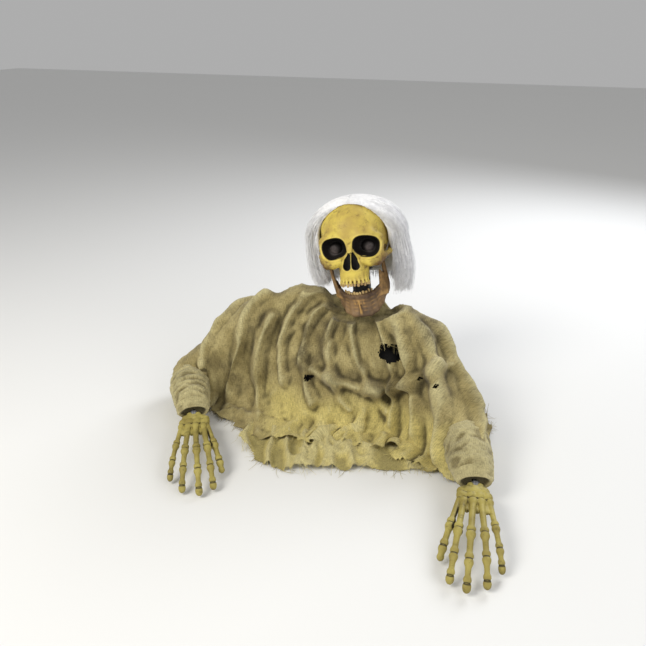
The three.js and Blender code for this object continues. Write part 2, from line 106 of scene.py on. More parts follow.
# ------------------------------------------------------------------ camera, light and floor
def camera():
    """A 39 mm lens, 24 degrees down, swung 20 degrees towards +X."""
    data = bpy.data.cameras.new("camera")
    data.lens = 39
    data.sensor_width = 36
    eye = bpy.data.objects.new("camera", data)
    eye.location = (0.299, -0.8509, 0.5999)
    eye.rotation_euler = (math.radians(66), 0, math.radians(20.3))
    bpy.context.scene.collection.objects.link(eye)
    bpy.context.scene.camera = eye


def area_light(name, at, target, size, watts, colour=(1, 1, 1)):
    data = bpy.data.lights.new(name, "AREA")
    data.shape = "DISK"
    data.size = size
    data.energy = watts
    data.color = colour
    lamp = bpy.data.objects.new(name, data)
    lamp.location = at
    lamp.rotation_euler = (Vector(target) - Vector(at)).to_track_quat("-Z", "Y").to_euler()
    bpy.context.scene.collection.objects.link(lamp)


def studio():
    area_light("key", (-0.75, -1.1, 1.35), (0, 0.05, 0.12), 0.9, 21, (1, 0.97, 0.9))
    area_light("fill", (1.3, -0.7, 0.9), (0, 0.05, 0.12), 1.4, 9)
    area_light("rim", (0.5, 1.4, 1.1), (0, 0.05, 0.15), 0.9, 16, (0.94, 0.96, 1))
    world = bpy.data.worlds.new("world")
    world.use_nodes = True
    world.node_tree.nodes["Background"].inputs["Color"].default_value = (1, 1, 1, 1)
    world.node_tree.nodes["Background"].inputs["Strength"].default_value = 0.42
    bpy.context.scene.world = world
    bpy.context.scene.view_settings.view_transform = "Standard"


def floor():
    bpy.ops.mesh.primitive_plane_add(size=12, location=(0, 0, -0.0004))
    plane = bpy.context.object
    plane.name = "floor"
    paint = Paint("floor")
    paint.set(base=(0.78, 0.78, 0.77), rough=0.9)
    plane.data.materials.append(paint.material)


# ------------------------------------------------------------------ materials
class Paint:
    """A small helper that builds one Principled material node by node."""

    def __init__(self, name):
        self.material = bpy.data.materials.new(name)
        self.material.use_nodes = True
        self.tree = self.material.node_tree
        self.shader = self.tree.nodes["Principled BSDF"]

    def node(self, kind, **values):
        made = self.tree.nodes.new(kind)
        for key, value in values.items():
            if hasattr(made, key):
                setattr(made, key, value)
            else:
                made.inputs[key.replace("_", " ")].default_value = value
        return made

    def link(self, out, to):
        self.tree.links.new(out, to)

    def set(self, base=None, rough=None, metal=None):
        names = {"Base Color": base, "Roughness": rough, "Metallic": metal}
        for name, value in names.items():
            if value is None:
                continue
            socket = self.shader.inputs[name]
            if isinstance(value, bpy.types.NodeSocket):
                self.link(value, socket)
            else:
                socket.default_value = (*value, 1) if name == "Base Color" else value

    def where(self, space="Object"):
        return self.node("ShaderNodeTexCoord").outputs[space]

    def attribute(self, name):
        return self.node("ShaderNodeAttribute", attribute_name=name).outputs["Fac"]

    def noise(self, scale, detail=4, rough=0.55, at=None, distortion=0):
        made = self.node("ShaderNodeTexNoise", Scale=scale, Detail=detail, Roughness=rough)
        made.inputs["Distortion"].default_value = distortion
        self.link(at or self.where(), made.inputs["Vector"])
        return made.outputs["Fac"]

    def ramp(self, value, stops, smooth=True):
        """stops are (place, colour or grey) pairs."""
        made = self.node("ShaderNodeValToRGB")
        made.color_ramp.interpolation = "EASE" if smooth else "LINEAR"
        elements = made.color_ramp.elements
        while len(elements) < len(stops):
            elements.new(0.5)
        for element, (spot, colour) in zip(elements, stops):
            element.position = spot
            element.color = (*colour, 1) if hasattr(colour, "__len__") else (colour,) * 3 + (1,)
        self.link(value, made.inputs["Fac"])
        return made.outputs["Color"]

    def mix(self, factor, a, b, how="MIX"):
        made = self.node("ShaderNodeMix", data_type="RGBA", blend_type=how)
        for value, socket in ((factor, made.inputs[0]), (a, made.inputs[6]), (b, made.inputs[7])):
            if isinstance(value, bpy.types.NodeSocket):
                self.link(value, socket)
            else:
                socket.default_value = (*value, 1) if hasattr(value, "__len__") else value
        return made.outputs[2]

    def math(self, operation, a, b=0.0, clamp=False):
        made = self.node("ShaderNodeMath", operation=operation, use_clamp=clamp)
        for value, socket in ((a, made.inputs[0]), (b, made.inputs[1])):
            if isinstance(value, bpy.types.NodeSocket):
                self.link(value, socket)
            else:
                socket.default_value = value
        return made.outputs[0]

    def bump(self, height, distance, strength=1.0):
        made = self.node("ShaderNodeBump", Strength=strength, Distance=distance)
        self.link(height, made.inputs["Height"])
        self.link(made.outputs["Normal"], self.shader.inputs["Normal"])


def bone_paint(name, light, dark, stain_and_shade, rim, rough):
    """Painted moulded bone. Attributes: crease and depth (0 to 1) take the brown wash colour, which also
    marks random stains, as painted shade in creases and recesses over some real brown paint; edge takes
    the rim colour as a painted highlight along edges; hole goes black; eye gives the black a dull grey
    patch, a painted reflection."""
    paint = Paint(name)
    mottle = paint.mix(paint.ramp(paint.noise(34, 5), [(0.36, 0), (0.66, 1)]), dark, light)
    stain = paint.ramp(paint.noise(90, 6, 0.7, distortion=0.4), [(0.5, 0), (0.74, 1)])
    mottle = paint.mix(paint.math("MULTIPLY", stain, 0.62), mottle, stain_and_shade)
    # Painted highlight: the rim colour along convex edges.
    mottle = paint.mix(paint.math("MULTIPLY", paint.attribute("edge"), 0.6), mottle, rim)
    # Painted shade: the wash colour in creases and recesses, partly real brown paint there, broken up by
    # grain.
    low = paint.math("ADD", paint.attribute("depth"), paint.attribute("crease"))
    grain = paint.math("ADD", paint.math("MULTIPLY", paint.noise(210, 3), 0.9), 0.35)
    washed_and_shaded = paint.mix(paint.ramp(paint.math("MULTIPLY", low, grain), [(0.06, 0), (0.62, 1)]), mottle, stain_and_shade)
    black = paint.mix(paint.attribute("hole"), washed_and_shaded, (0.012, 0.01, 0.009))
    # Painted reflection: a dull grey patch deep in each black socket.
    haze = paint.ramp(paint.noise(150, 3), [(0.3, 0.4), (0.7, 1)])
    grey = paint.math("MULTIPLY", paint.attribute("eye"), haze)
    paint.set(base=paint.mix(grey, black, (0.13, 0.105, 0.1)), rough=rough)
    paint.bump(paint.mix(0.35, paint.noise(420, 4), paint.noise(120, 3)), 0.0006, 0.55)
    paint.shader.inputs["Specular IOR Level"].default_value = 0.22
    return paint.material


# ------------------------------------------------------------------ distance fields, in millimetres
def smin(a, b, k):
    h = np.clip(0.5 + 0.5 * (b - a) / k, 0, 1)
    return b + (a - b) * h - k * h * (1 - h)


def smax(a, b, k):
    return -smin(-a, -b, k)


def ball(p, at, radii):
    """An ellipsoid's distance, near enough at the surface."""
    q = (p - np.float32(at)) / np.float32(radii)
    k0 = np.linalg.norm(q, axis=-1)
    k1 = np.linalg.norm(q / np.float32(radii), axis=-1)
    return k0 * (k0 - 1) / np.maximum(k1, 1e-6)


def rod(p, a, b, ra, rb=None):
    """A capsule from a to b whose radius goes from ra to rb."""
    a, b = np.float32(a), np.float32(b)
    way = b - a
    t = np.clip((p - a) @ way / (way @ way), 0, 1)
    return np.linalg.norm(p - a - t[..., None] * way, axis=-1) - (ra + ((rb or ra) - ra) * t)


def chain(p, points, radii, k=2.0):
    """Capsules through the points, joined smoothly."""
    parts = zip(points, points[1:], radii, radii[1:])
    field = None
    for a, b, ra, rb in parts:
        piece = rod(p, a, b, ra, rb)
        field = piece if field is None else smin(field, piece, k)
    return field


def prism(p2, outline):
    """Signed distance in a plane to a polygon."""
    outline = np.float32(outline)
    best = np.full(p2.shape[:-1], 1e9, np.float32)
    inside = np.zeros(p2.shape[:-1], bool)
    for a, b in zip(outline, np.roll(outline, -1, 0)):
        way = b - a
        t = np.clip((p2 - a) @ way / (way @ way), 0, 1)
        best = np.minimum(best, np.linalg.norm(p2 - a - t[..., None] * way, axis=-1))
        crosses = (a[1] > p2[..., 1]) != (b[1] > p2[..., 1])
        rise = way[1] if way[1] else 1e-9
        inside ^= crosses & (p2[..., 0] < a[0] + (p2[..., 1] - a[1]) * way[0] / rise)
    return np.where(inside, -best, best)


def mirrored(p):
    """The points folded to the +X side."""
    q = p.copy()
    q[..., 0] = np.abs(q[..., 0])
    return q


def sampled(field_of, low, high, step):
    """field_of over a grid of points, a slab at a time to keep memory small."""
    axes = [np.arange(a, b + step, step, dtype=np.float32) for a, b in zip(low, high)]
    slabs = [axes[0][i : i + 24] for i in range(0, len(axes[0]), 24)]
    grids = (np.stack(np.meshgrid(x, axes[1], axes[2], indexing="ij"), -1) for x in slabs)
    return np.concatenate([field_of(grid) for grid in grids])


def skin(field, low, step):
    """Vertices and quads of the surface where the field is zero, by surface nets."""
    shape = field.shape
    inside = field < 0
    corners = [
        inside[i : shape[0] - 1 + i, j : shape[1] - 1 + j, k : shape[2] - 1 + k]
        for i in (0, 1)
        for j in (0, 1)
        for k in (0, 1)
    ]
    count = sum(c.astype(np.int8) for c in corners)
    mixed = (count > 0) & (count < 8)
    cells = np.argwhere(mixed)
    index = np.full(mixed.shape, -1, np.int64)
    index[mixed] = np.arange(len(cells))
    total, hits = np.zeros((len(cells), 3)), np.zeros(len(cells))
    for axis in range(3):
        along = np.eye(3, dtype=int)[axis]
        u, v = np.eye(3, dtype=int)[(axis + 1) % 3], np.eye(3, dtype=int)[(axis + 2) % 3]
        for shift in (0 * u, u, v, u + v):
            a = cells + shift
            b = a + along
            fa, fb = field[tuple(a.T)], field[tuple(b.T)]
            cross = (fa < 0) != (fb < 0)
            t = np.where(cross, fa / np.where(cross, fa - fb, 1), 0)
            total += np.where(cross[:, None], a + along * t[:, None], 0)
            hits += cross
    points = total / hits[:, None] * step + np.array(low)
    quads = []
    for axis in range(3):
        near = [slice(1, -1)] * 3
        far = list(near)
        near[axis], far[axis] = slice(0, -1), slice(1, None)
        starts = inside[tuple(near)]
        cross = starts != inside[tuple(far)]
        edge = np.argwhere(cross) + np.array([int(i != axis) for i in range(3)])
        u, v = np.eye(3, dtype=int)[(axis + 1) % 3], np.eye(3, dtype=int)[(axis + 2) % 3]
        ring = np.stack([index[tuple((edge - s).T)] for s in (0 * u, u, u + v, v)], 1)
        flip = ~starts[cross]
        ring[flip] = ring[flip][:, ::-1]
        quads.append(ring)
    return points, np.concatenate(quads)


# ------------------------------------------------------------------ making objects
def mesh_object(name, points, faces, material=None, smooth=True):
    data = bpy.data.meshes.new(name)
    data.from_pydata([], [], [])
    points = np.asarray(points, np.float32)
    if isinstance(faces, np.ndarray):
        data.vertices.add(len(points))
        data.vertices.foreach_set("co", points.ravel())
        size = faces.shape[1]
        data.loops.add(faces.size)
        data.loops.foreach_set("vertex_index", faces.astype(np.int32).ravel())
        data.polygons.add(len(faces))
        data.polygons.foreach_set("loop_start", np.arange(0, faces.size, size, dtype=np.int32))
        data.update(calc_edges=True)
        data.validate()
    else:
        data.from_pydata([tuple(map(float, p)) for p in points], [], faces)
    data.polygons.foreach_set("use_smooth", np.full(len(data.polygons), smooth))
    made = bpy.data.objects.new(name, data)
    bpy.context.scene.collection.objects.link(made)
    if material:
        data.materials.append(material)
    return made


def paint_attribute(made, name, values):
    layer = made.data.attributes.new(name, "FLOAT", "POINT")
    layer.data.foreach_set("value", np.asarray(values, np.float32))


def relax(points, quads, rounds=2):
    """Takes the grid's steps out of a skinned surface."""
    for _ in range(rounds):
        total, hits = np.zeros_like(points), np.zeros(len(points))
        for i in range(4):
            a, b = quads[:, i], quads[:, (i + 1) % 4]
            np.add.at(total, a, points[b])
            np.add.at(total, b, points[a])
            np.add.at(hits, a, 1)
            np.add.at(hits, b, 1)
        points = points * 0.5 + total / np.maximum(hits, 1)[:, None] * 0.5
    return points


def ramp(x, a, b):
    t = np.clip((x - a) / (b - a), 0, 1)
    return t * t * (3 - 2 * t)


# ------------------------------------------------------------------ skull
SOCKET_AT, SOCKET_R = (25.3, -52, 0.3), (19.5, 25, 16.3)
PARTING_Y = 8


def skull_outside(p):
    """The skull before its holes are cut."""
    q = mirrored(p)
    f = ball(p, (0, 8, 17), (55, 58, 54))
    f = smin(f, ball(p, (0, -13, 22), (46, 44.5, 40)), 12)
    f = smax(f, -ball(q, (64, -24, 6), (15, 21, 26)), 12)  # temples
    brow = [(5, -53, 11), (18, -54, 18), (33, -48, 18), (44, -38, 10)]
    f = smin(f, chain(q, brow, [4.2, 4.6, 4.6, 4.6]), 10)
    f = smin(f, chain(q, [(44, -38, 10), (45.5, -37, -2), (43, -39, -17)], [4.6, 4.2, 5]), 6)
    f = smin(f, ball(p, (0, -31, -32), (23, 26, 26)), 8)
    f = smin(f, ball(p, (0, -33, -46), (23, 24.5, 14)), 5)
    cheek = [(17, -52, -21), (28, -49, -24), (38, -42, -24), (45, -32, -19), (54, -8, -14)]
    f = smin(f, chain(q, cheek, [5, 7, 7.5, 6, 3.8], 4), 7)
    f = smin(f, chain(q, [(54, -8, -14), (54, 8, -12), (49, 21, -6)], [3.8, 3.4, 4], 3), 4)
    f = smin(f, rod(p, (0, -51, 10), (0, -59, -7), 4.6, 3), 5)
    return f


def socket_field(p):
    """The two eye sockets: rounded, wider than high, with flattened brows."""
    q = mirrored(p)
    a = math.radians(9)
    x, y, z = (q[..., i] - SOCKET_AT[i] for i in range(3))
    u, w = x * math.cos(a) - z * math.sin(a), x * math.sin(a) + z * math.cos(a)
    w = np.where(w > 0, w * 1.12, w)
    k = 2.5
    e = (np.abs(u / SOCKET_R[0]) ** k + np.abs(w / SOCKET_R[2]) ** k) ** (1 / k)
    e = np.sqrt(e**2 + (np.maximum(y, 0) / SOCKET_R[1]) ** 2)
    return (e - 1) * SOCKET_R[2]


def nose_field(p):
    """A pear-shaped opening with a thin bone wall down its middle."""
    q = mirrored(p)
    line = np.float32([(2.2, -10), (4.8, -20), (6.8, -29)])
    f = None
    for a, b, ra, rb in ((0, 1, 1.6, 4.4), (1, 2, 4.4, 5.6)):
        way = line[b] - line[a]
        flat = q[..., (0, 2)] - line[a]
        t = np.clip(flat @ way / (way @ way), 0, 1)
        piece = np.linalg.norm(flat - t[..., None] * way, axis=-1) - (ra + (rb - ra) * t)
        f = piece if f is None else smin(f, piece, 2)
    f = np.maximum(f, p[..., 1] + 46)
    wall = np.abs(p[..., 0]) - (0.9 + 0.05 * np.maximum(p[..., 1] + 58, 0))
    return smax(f, -wall, 0.8)


def skull_field(p):
    q = mirrored(p)
    outside = skull_outside(p)
    socket = socket_field(p)
    rim = smax(np.abs(socket) - 2.2, outside - 1.2, 2.5)
    f = smin(outside, rim, 2.5)
    f = smin(f, np.maximum(socket - 3.5, -44 - p[..., 1]), 2)  # bone behind the sockets
    f = smax(f, -socket, 1.6)
    f = smin(f, ball(q, (25, -32, -1), (10, 5.5, 9)), 2)
    rim = smax(np.abs(nose_field(p)) - 1.6, outside - 1.2, 2)
    f = smin(f, rim, 1.5)
    f = smax(f, -nose_field(p), 1)
    for i in range(5):  # roots of the upper teeth
        a = math.radians(8 + 16 * i)
        x, y = 23 * math.sin(a), -32 - 25.2 * math.cos(a)
        f = smin(f, rod(q, (x, y, -55), (x * 0.95, y + 1.4, -42), 2.5, 1.4), 1.8)
    foramen = chain(q, [(28, -58, -25.5), (32, -57, -23.5), (37, -54, -25)], [1.5, 1.7, 1.3], 1)
    f = smax(f, -foramen, 1)
    f = smax(f, -ball(q, (36, -34, -48), (13, 18, 15)), 5)  # hollow under the cheek
    f = smax(f, -ball(p, (0, -20, -60), (16.5, 25, 15)), 2)
    f = smax(f, -ball(q, (40, -6, -44), (16, 20, 22)), 6)
    f = smax(f, -ball(q, (46, -8, -24), (6.5, 17, 20)), 3)  # where the jaw's blades pass
    crack = chain(q, [(30, -46, 46), (36, -36, 42), (38, -28, 46), (44, -18, 40)], [0.7] * 4, 0.5)
    f = smax(f, -crack, 0.8)
    f = smax(f, -(p[..., 2] + 56.5), 1.5)
    f = smax(f, np.minimum(-36 - p[..., 2], p[..., 1] + 12), 2)  # flat base behind the palate
    neck = np.linalg.norm(p[..., :2] - np.float32((0, 22)), axis=-1)
    f = np.maximum(f, np.minimum(13.4 - neck, -20 - p[..., 2]))
    throat = np.maximum(neck - 19, np.abs(p[..., 2] + 22) - 10)
    hollow = np.minimum(ball(p, (0, 20, 20), (49, 40, 46)), throat)
    return np.maximum(f, -hollow)


def skull_paint(points):
    """How deep each point lies below the uncut skull, which is painted as shade in recesses, with more
    painted shade out towards the temples and down the cheeks, and how far into a socket or the nose.
    """
    p = np.asarray(points, np.float32)
    below = -skull_outside(p)
    hole = ramp(socket_field(p), 1.3, 0.6)
    hole = np.maximum(hole, ramp(nose_field(p), 1, 0.4) * ramp(p[..., 1], -40, -44))
    hole = np.maximum(hole, ramp(below, 14, 20))
    # Painted reflection: where the dull grey patch goes, deep in each socket.
    eye = ramp(np.linalg.norm(mirrored(p) - np.float32((28, -36, -4)), axis=-1), 10, 4)
    off = np.abs(p[..., 0])
    # Painted shade, darker out towards the temples and darker still low on the cheeks.
    shaded_sides = 0.34 * ramp(off, 34, 52) + 0.6 * ramp(-p[..., 2], 8, 34) * ramp(off, 22, 38)
    return {"depth": np.clip(below / 6 + shaded_sides, 0, 1), "hole": hole, "eye": eye * hole}


def lookup(field, low, step, points):
    """The sampled field at any points, between its samples."""
    at = np.clip((points - np.array(low)) / step, 0, np.array(field.shape) - 1.001)
    base = at.astype(int)
    t = at - base
    total = np.zeros(len(points))
    for corner in np.ndindex(2, 2, 2):
        weight = np.prod(np.where(corner, t, 1 - t), axis=1)
        total += weight * field[tuple((base + corner).T)]
    return total


def bend_of(field, low, step, points, reach):
    """Above 0 in a crease, below 0 on an edge, from the field a little out from the surface."""
    axes = np.eye(3) * step
    slope = [lookup(field, low, step, points + a) - lookup(field, low, step, points - a) for a in axes]
    out = np.stack(slope, 1)
    out /= np.maximum(np.linalg.norm(out, axis=1), 1e-6)[:, None]
    rise = lookup(field, low, step, points + out * reach)
    drop = lookup(field, low, step, points - out * reach)
    return -(rise + drop) / reach


def shell(name, field, low, step, to_row, material, painter):
    points, quads = skin(field, low, step)
    points = relax(points, quads)
    made = mesh_object(name, moved(to_row, points), quads, material)
    bend = bend_of(field, low, step, points, 3)
    # Painted shade in creases and a painted highlight on edges, from how the surface bends.
    paint_attribute(made, "crease", ramp(bend, 0.05, 0.8))
    paint_attribute(made, "edge", ramp(-bend, 0.1, 0.6))
    for key, values in painter(points).items():
        paint_attribute(made, key, values)
    return made


def tooth_row(name, to_row, material, centre, radii, spread, count, up, size):
    """Small pegs round an arch, each a cage rounded by subdivision. up is 1 where tips point down."""
    verts, faces = [], []
    width, depth, height = size
    for i in range(count):
        a = math.radians(-spread + 2 * spread * i / (count - 1))
        at = np.array([radii[0] * math.sin(a), centre[1] - radii[1] * math.cos(a), centre[2]])
        out = unit([math.sin(a) / radii[0], -math.cos(a) / radii[1], 0])
        side = np.cross((0, 0, 1), out)
        wide = width * (1 - 0.22 * math.sin(2.1 * i + 1)) * (1.12 if abs(i - (count - 1) / 2) < 1 else 1)
        long = height * (1 + 0.12 * math.sin(3.7 * i))
        start = len(verts)
        for level, fat in ((0, 0.62), (0.3, 0.86), (0.75, 1.0), (1, 0.84)):
            for s, o in ((-1, -1), (1, -1), (1, 1), (-1, 1)):
                corner = at + side * s * wide / 2 * fat + out * o * depth / 2 * (fat * 0.9)
                verts.append(corner - np.array([0, 0, up * long * level]))
        for k in range(3):
            for j in range(4):
                a0, b0 = start + 4 * k + j, start + 4 * k + (j + 1) % 4
                faces.append((a0, b0, b0 + 4, a0 + 4))
        faces.append(tuple(start + j for j in (3, 2, 1, 0)))
        faces.append(tuple(start + 12 + j for j in range(4)))
    made = mesh_object(name, moved(to_row, verts), faces, material)
    if up > 0:
        made.data.flip_normals()
    made.modifiers.new("round", "SUBSURF").render_levels = 2
    return made


def skull(materials):
    outline = (-64, -72, -62), (64, 72, 78)
    for name, sign in (("skull_face", 1), ("skull_rear", -1)):
        low, high = [list(v) for v in outline]
        (high if sign > 0 else low)[1] = PARTING_Y + 3 * sign

        def half(p, sign=sign):
            return np.maximum(skull_field(p), sign * (p[..., 1] - PARTING_Y) + 0.15)

        field = sampled(half, low, high, 0.9)
        made = shell(name, field, low, 0.9, HEAD, materials["bone"], skull_paint)
        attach(made, "head")
        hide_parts("skull_front" if sign > 0 else "skull_back")
    teeth = tooth_row(
        "upper_teeth", HEAD, materials["tooth"], (0, -32, -52.5), (22.3, 24.6), 78, 12, 1, (5, 4.4, 7.6)
    )
    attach(teeth, "head")


# ------------------------------------------------------------------ jaw, in its closed frame
RIM = [(0, -60, -71), (13, -58, -71), (23, -50, -69), (31, -34, -63), (37, -17, -54), (41, -6, -44)]
GUM = [(0, -57, -46), (12, -54, -46), (22, -45, -45), (30, -31, -42), (36, -17, -38), (40, -6, -34)]
BLADE = [
    (5, 3), (2, -18), (-2, -40), (-9, -52), (-20, -56), (-36, -52), (-34, -42), (-30, -30),
    (-25, -13), (-19, -21), (-13, -21), (-9, -12), (-6, -3), (-2, 4), (2, 5),
]  # fmt: skip


def jaw_plain(p):
    q = mirrored(p)
    f = None
    for t in (0, 0.25, 0.5, 0.75, 1):  # from the lower rim up to the gum, hollowed in between
        dip = np.array([0, 8 * t * (1 - t), 0])
        row = [(1 - t) * np.array(a) + t * np.array(b) + dip for a, b in zip(RIM, GUM)]
        thick = 4.4 - 2.8 * t * (1 - t) - 0.5 * t
        band = chain(q, row, [thick, thick, thick * 0.9, thick * 0.8, thick * 0.66, thick * 0.5], 3)
        f = band if f is None else smin(f, band, 4)
    blade = prism(q[..., 1:], BLADE)
    lean = 0.22 * np.maximum(-5 - q[..., 1], 0) + 0.3 * np.maximum(-22 - q[..., 1], 0)
    edge = np.abs(q[..., 0] - 43.6 + lean) - 0.9
    plate = np.maximum(blade + 1.6, edge)
    plate = np.where((blade + 1.6 > 0) & (edge > 0), np.hypot(blade + 1.6, edge), plate) - 1.4
    return smin(f, plate, 4)


def jaw_field(p):
    q = mirrored(p)
    f = jaw_plain(p)
    f = smax(f, -ball(q, (9.5, -65.5, -61), (7.5, 4.5, 6.5)), 2.2)  # hollows beside the chin's ridge
    f = smin(f, rod(p, (0, -61, -50), (0, -64.5, -70), 1, 1.8), 2)
    f = smin(f, chain(q, [(0, -63.5, -72.5), (13, -61, -72.5), (24, -52, -70)], [2.8, 2.6, 1.6], 2), 3)
    for i in range(5):  # roots of the lower teeth
        a = math.radians(4.2 + 8.4 * i)
        x, y = 31 * math.sin(a), -58 * math.cos(a) + 0.5
        f = smin(f, rod(q, (x, y, -43), (x, y - 2, -55), 2.2, 1.3), 1.6)
    axle = np.hypot(p[..., 1], p[..., 2])
    return np.maximum(f, 2.2 - axle)


def jaw_paint(points):
    p = np.asarray(points, np.float32)
    # Painted shade: darker in the hollows beside the chin's ridge, and darker with some black on the inner
    # side of the arch; the jaw also darkens towards the gum.
    hollow = ramp(-ball(mirrored(p), (10.5, -66, -57), (9.5, 7.5, 8.5)), -1, 2.5)
    inner = ramp(np.hypot(p[..., 0] / 0.8, p[..., 1]), 52, 44) * ramp(p[..., 2], -30, -50)
    roots = ramp(p[..., 2], -54, -44) * 0.45
    return {"depth": np.clip(hollow * 0.5 + inner * 0.6 + roots, 0, 1), "hole": inner * 0.35}


def jaw(materials):
    low = (-52, -72, -80)
    field = sampled(jaw_field, low, (52, 10, 10), 0.8)
    made = shell("jaw_bone", field, low, 0.8, JAW_HUNG, materials["jaw_bone"], jaw_paint)
    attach(made, "jaw")
    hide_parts("jaw")
    teeth = tooth_row(
        "lower_teeth", JAW_HUNG, materials["tooth"], (0, 0.5, -46), (30, 56), 44, 11, -1, (4.6, 4.0, 9)
    )
    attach(teeth, "jaw")
    return made


# ------------------------------------------------------------------ hands
# Each digit: where it leaves the wrist, its spread, its bones' lengths, their slopes, its radius.
DIGITS = [
    ((20, 17, 2), 12, (60, 33, 16), (4, -7, -35), 5.4),
    ((34, 14, 5), 6, (58, 36, 26, 8), (8, -6, -19, -55), 5.4),
    ((34, 3, 6), 2, (62, 39, 28, 8.5), (8, -4, -20, -55), 5.5),
    ((33, -7, 5), -4, (60, 33, 27, 8), (7, -6, -20, -55), 5.3),
    ((30, -17, 3), -9, (46, 31, 20, 8), (5, -5, -22, -50), 4.8),
]
# The wrist's pebbles: where, and how wide.
CARPALS = [
    (14, 11, 1, 9), (13, 0, 2, 9.5), (14, -11, 1, 9), (25, 15, 2, 8.5), (26, 5, 4, 8.5),
    (25, -5, 4, 8.5), (23, -15, 2, 8.5), (15, 18, 0, 7),
]  # fmt: skip


def bones(side):
    """(start, end, radius) of every finger bone of a hand, from the wrist outwards."""
    made = []
    for base, spread, lengths, slopes, radius in DIGITS:
        at = np.array(base, float)
        for i, (length, slope) in enumerate(zip(lengths, slopes)):
            h, v = math.radians(spread), math.radians(slope)
            way = np.array([math.cos(h) * math.cos(v), math.sin(h) * math.cos(v), math.sin(v)])
            made.append((at.copy(), at + way * length, radius * (1 - 0.07 * i), i, i == len(lengths) - 1))
            at = at + way * length
    flip = np.array([1, -SIDES[side], 1])
    return [(a * flip, b * flip, r, i, last) for a, b, r, i, last in made]


def bone_field(p, a, b, r, last):
    """A waisted bone with two knuckles at its far end and a cupped base."""
    way = unit(b - a)
    across = unit(np.cross((0, 0, 1), way))
    f = rod(p, a + way * r * 0.5, b - way * r * 0.7, r * 0.8, r * 0.7)
    f = smin(f, ball_along(p, a + way * r * 0.75, way, (r * 0.95, r * 1.08, r * 0.92)), r * 0.9)
    if last:
        return smin(f, ball_along(p, b - way * r * 0.4, way, (r, r * 0.95, r * 0.7)), r * 0.6)
    for s in (-1, 1):
        knuckle = b - way * r * 0.85 + across * s * r * 0.42
        f = smin(f, ball_along(p, knuckle, way, (r * 0.8, r * 0.62, r * 0.82)), r * 0.45)
    return f


def ball_along(p, at, way, radii):
    """An ellipsoid whose first radius lies along way and whose second is level."""
    across = unit(np.cross((0, 0, 1), way))
    basis = np.float32(np.column_stack([way, across, np.cross(way, across)]))
    return ball((p - np.float32(at)) @ basis, (0, 0, 0), radii)


HAND_LOW, HAND_HIGH, HAND_STEP = (-3, -62, -42), (182, 62, 26), 0.8


def hand_field(side, parts):
    """The whole hand's field, each bone worked out only where it reaches."""
    flip = -SIDES[side]
    field = sampled(lambda p: np.full(p.shape[:3], 9, np.float32), HAND_LOW, HAND_HIGH, HAND_STEP)

    def add(shape, a, b, reach, k):
        """Joins a shape that reaches no further than this from a and b."""
        low = np.minimum(a, b) - reach - HAND_LOW
        high = np.maximum(a, b) + reach - HAND_LOW
        first = np.maximum(np.floor(low / HAND_STEP).astype(int), 0)
        last = np.minimum(np.ceil(high / HAND_STEP).astype(int), np.array(field.shape))
        axes = [HAND_LOW[i] + HAND_STEP * np.arange(first[i], last[i]) for i in range(3)]
        p = np.stack(np.meshgrid(*axes, indexing="ij"), -1).astype(np.float32)
        block = field[first[0] : last[0], first[1] : last[1], first[2] : last[2]]
        block[...] = smin(block, np.minimum(shape(p), 9), k)

    for x, y, z, r in CARPALS:
        at = np.array((x, y * flip, z - 1))
        add(lambda p: ball(p, at, (r * 0.95, r * 0.85, 6.4)), at, at, r + 4, 1.2)
    for a, b, r, _, last in parts:
        add(lambda p: bone_field(p, a, b, r, last), a, b, r * 1.3 + 4, 0.7)
    for y in (6, -6):  # the ends of the forearm's two bones
        a, b = np.array((4, y * flip, 0)), np.array((15, y * flip, 1))
        add(lambda p: rod(p, a, b, 5.2), a, b, 9, 1.5)
    for y in (9, -2, -12):  # webs that tie the palm together below
        a, b = np.array((24, y * flip, 0)), np.array((52, y * 1.15 * flip, 5))
        add(lambda p: rod(p, a, b, 3.4), a, b, 8, 2)
    x, y, z = (HAND_LOW[i] + HAND_STEP * np.arange(field.shape[i]) for i in range(3))
    bore = np.hypot(y[:, None], z[None, :])
    return np.where(x[:, None, None] < 22, np.maximum(field, 2.4 - bore), field)


def hand_paint(points, parts):
    """Dark lines where two bones meet, and painted shade on the hand's underside."""
    p = np.asarray(points, np.float32)
    line = np.zeros(len(p))
    for a, b, r, _, last in parts:
        way = unit(b - a)
        for end in [a] if last else [a, b]:
            off = (p - np.float32(end)) @ np.float32(way)
            near = np.linalg.norm(p - np.float32(end), axis=1) < r * 1.7
            line = np.maximum(line, np.exp(-((off / 0.75) ** 2)) * near)
    # Painted shade: darker towards the palm side, which faces the floor.
    low = ramp(p[:, 2], 0, -9) * 0.35
    return {"depth": np.clip(line * 0.55 + low, 0, 1), "hole": line * 0.8}


def hands(materials):
    for side in SIDES:
        parts = bones(side)
        made = shell(
            f"{side}_hand_bones",
            hand_field(side, parts),
            HAND_LOW,
            HAND_STEP,
            hand_frame(side),
            materials["hand_bone"],
            lambda p: hand_paint(p, parts),
        )
        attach(made, f"{side}_hand")
        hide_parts(f"{side}_hand")


# ------------------------------------------------------------------ the shroud, in the figure's frame
# The figure's frame has the shoulders at x = -138 and 138, the floor at z = 0, and millimetres.
BENDS = ("shoulder_swing", "elbow_bend", "wrist_lift")
LIMBS = {side: [np.array(JOINTS[f"{side}_{bend}"]["pos_m"]) for bend in BENDS] for side in SIDES}
FIGURE = np.diag([MM, MM, MM, 1.0])
FIGURE[:2, 3] = ((LIMBS["left"][0] + LIMBS["right"][0]) / 2)[:2]
LIMBS = {side: [(at - FIGURE[:3, 3]) / MM for at in limb] for side, limb in LIMBS.items()}

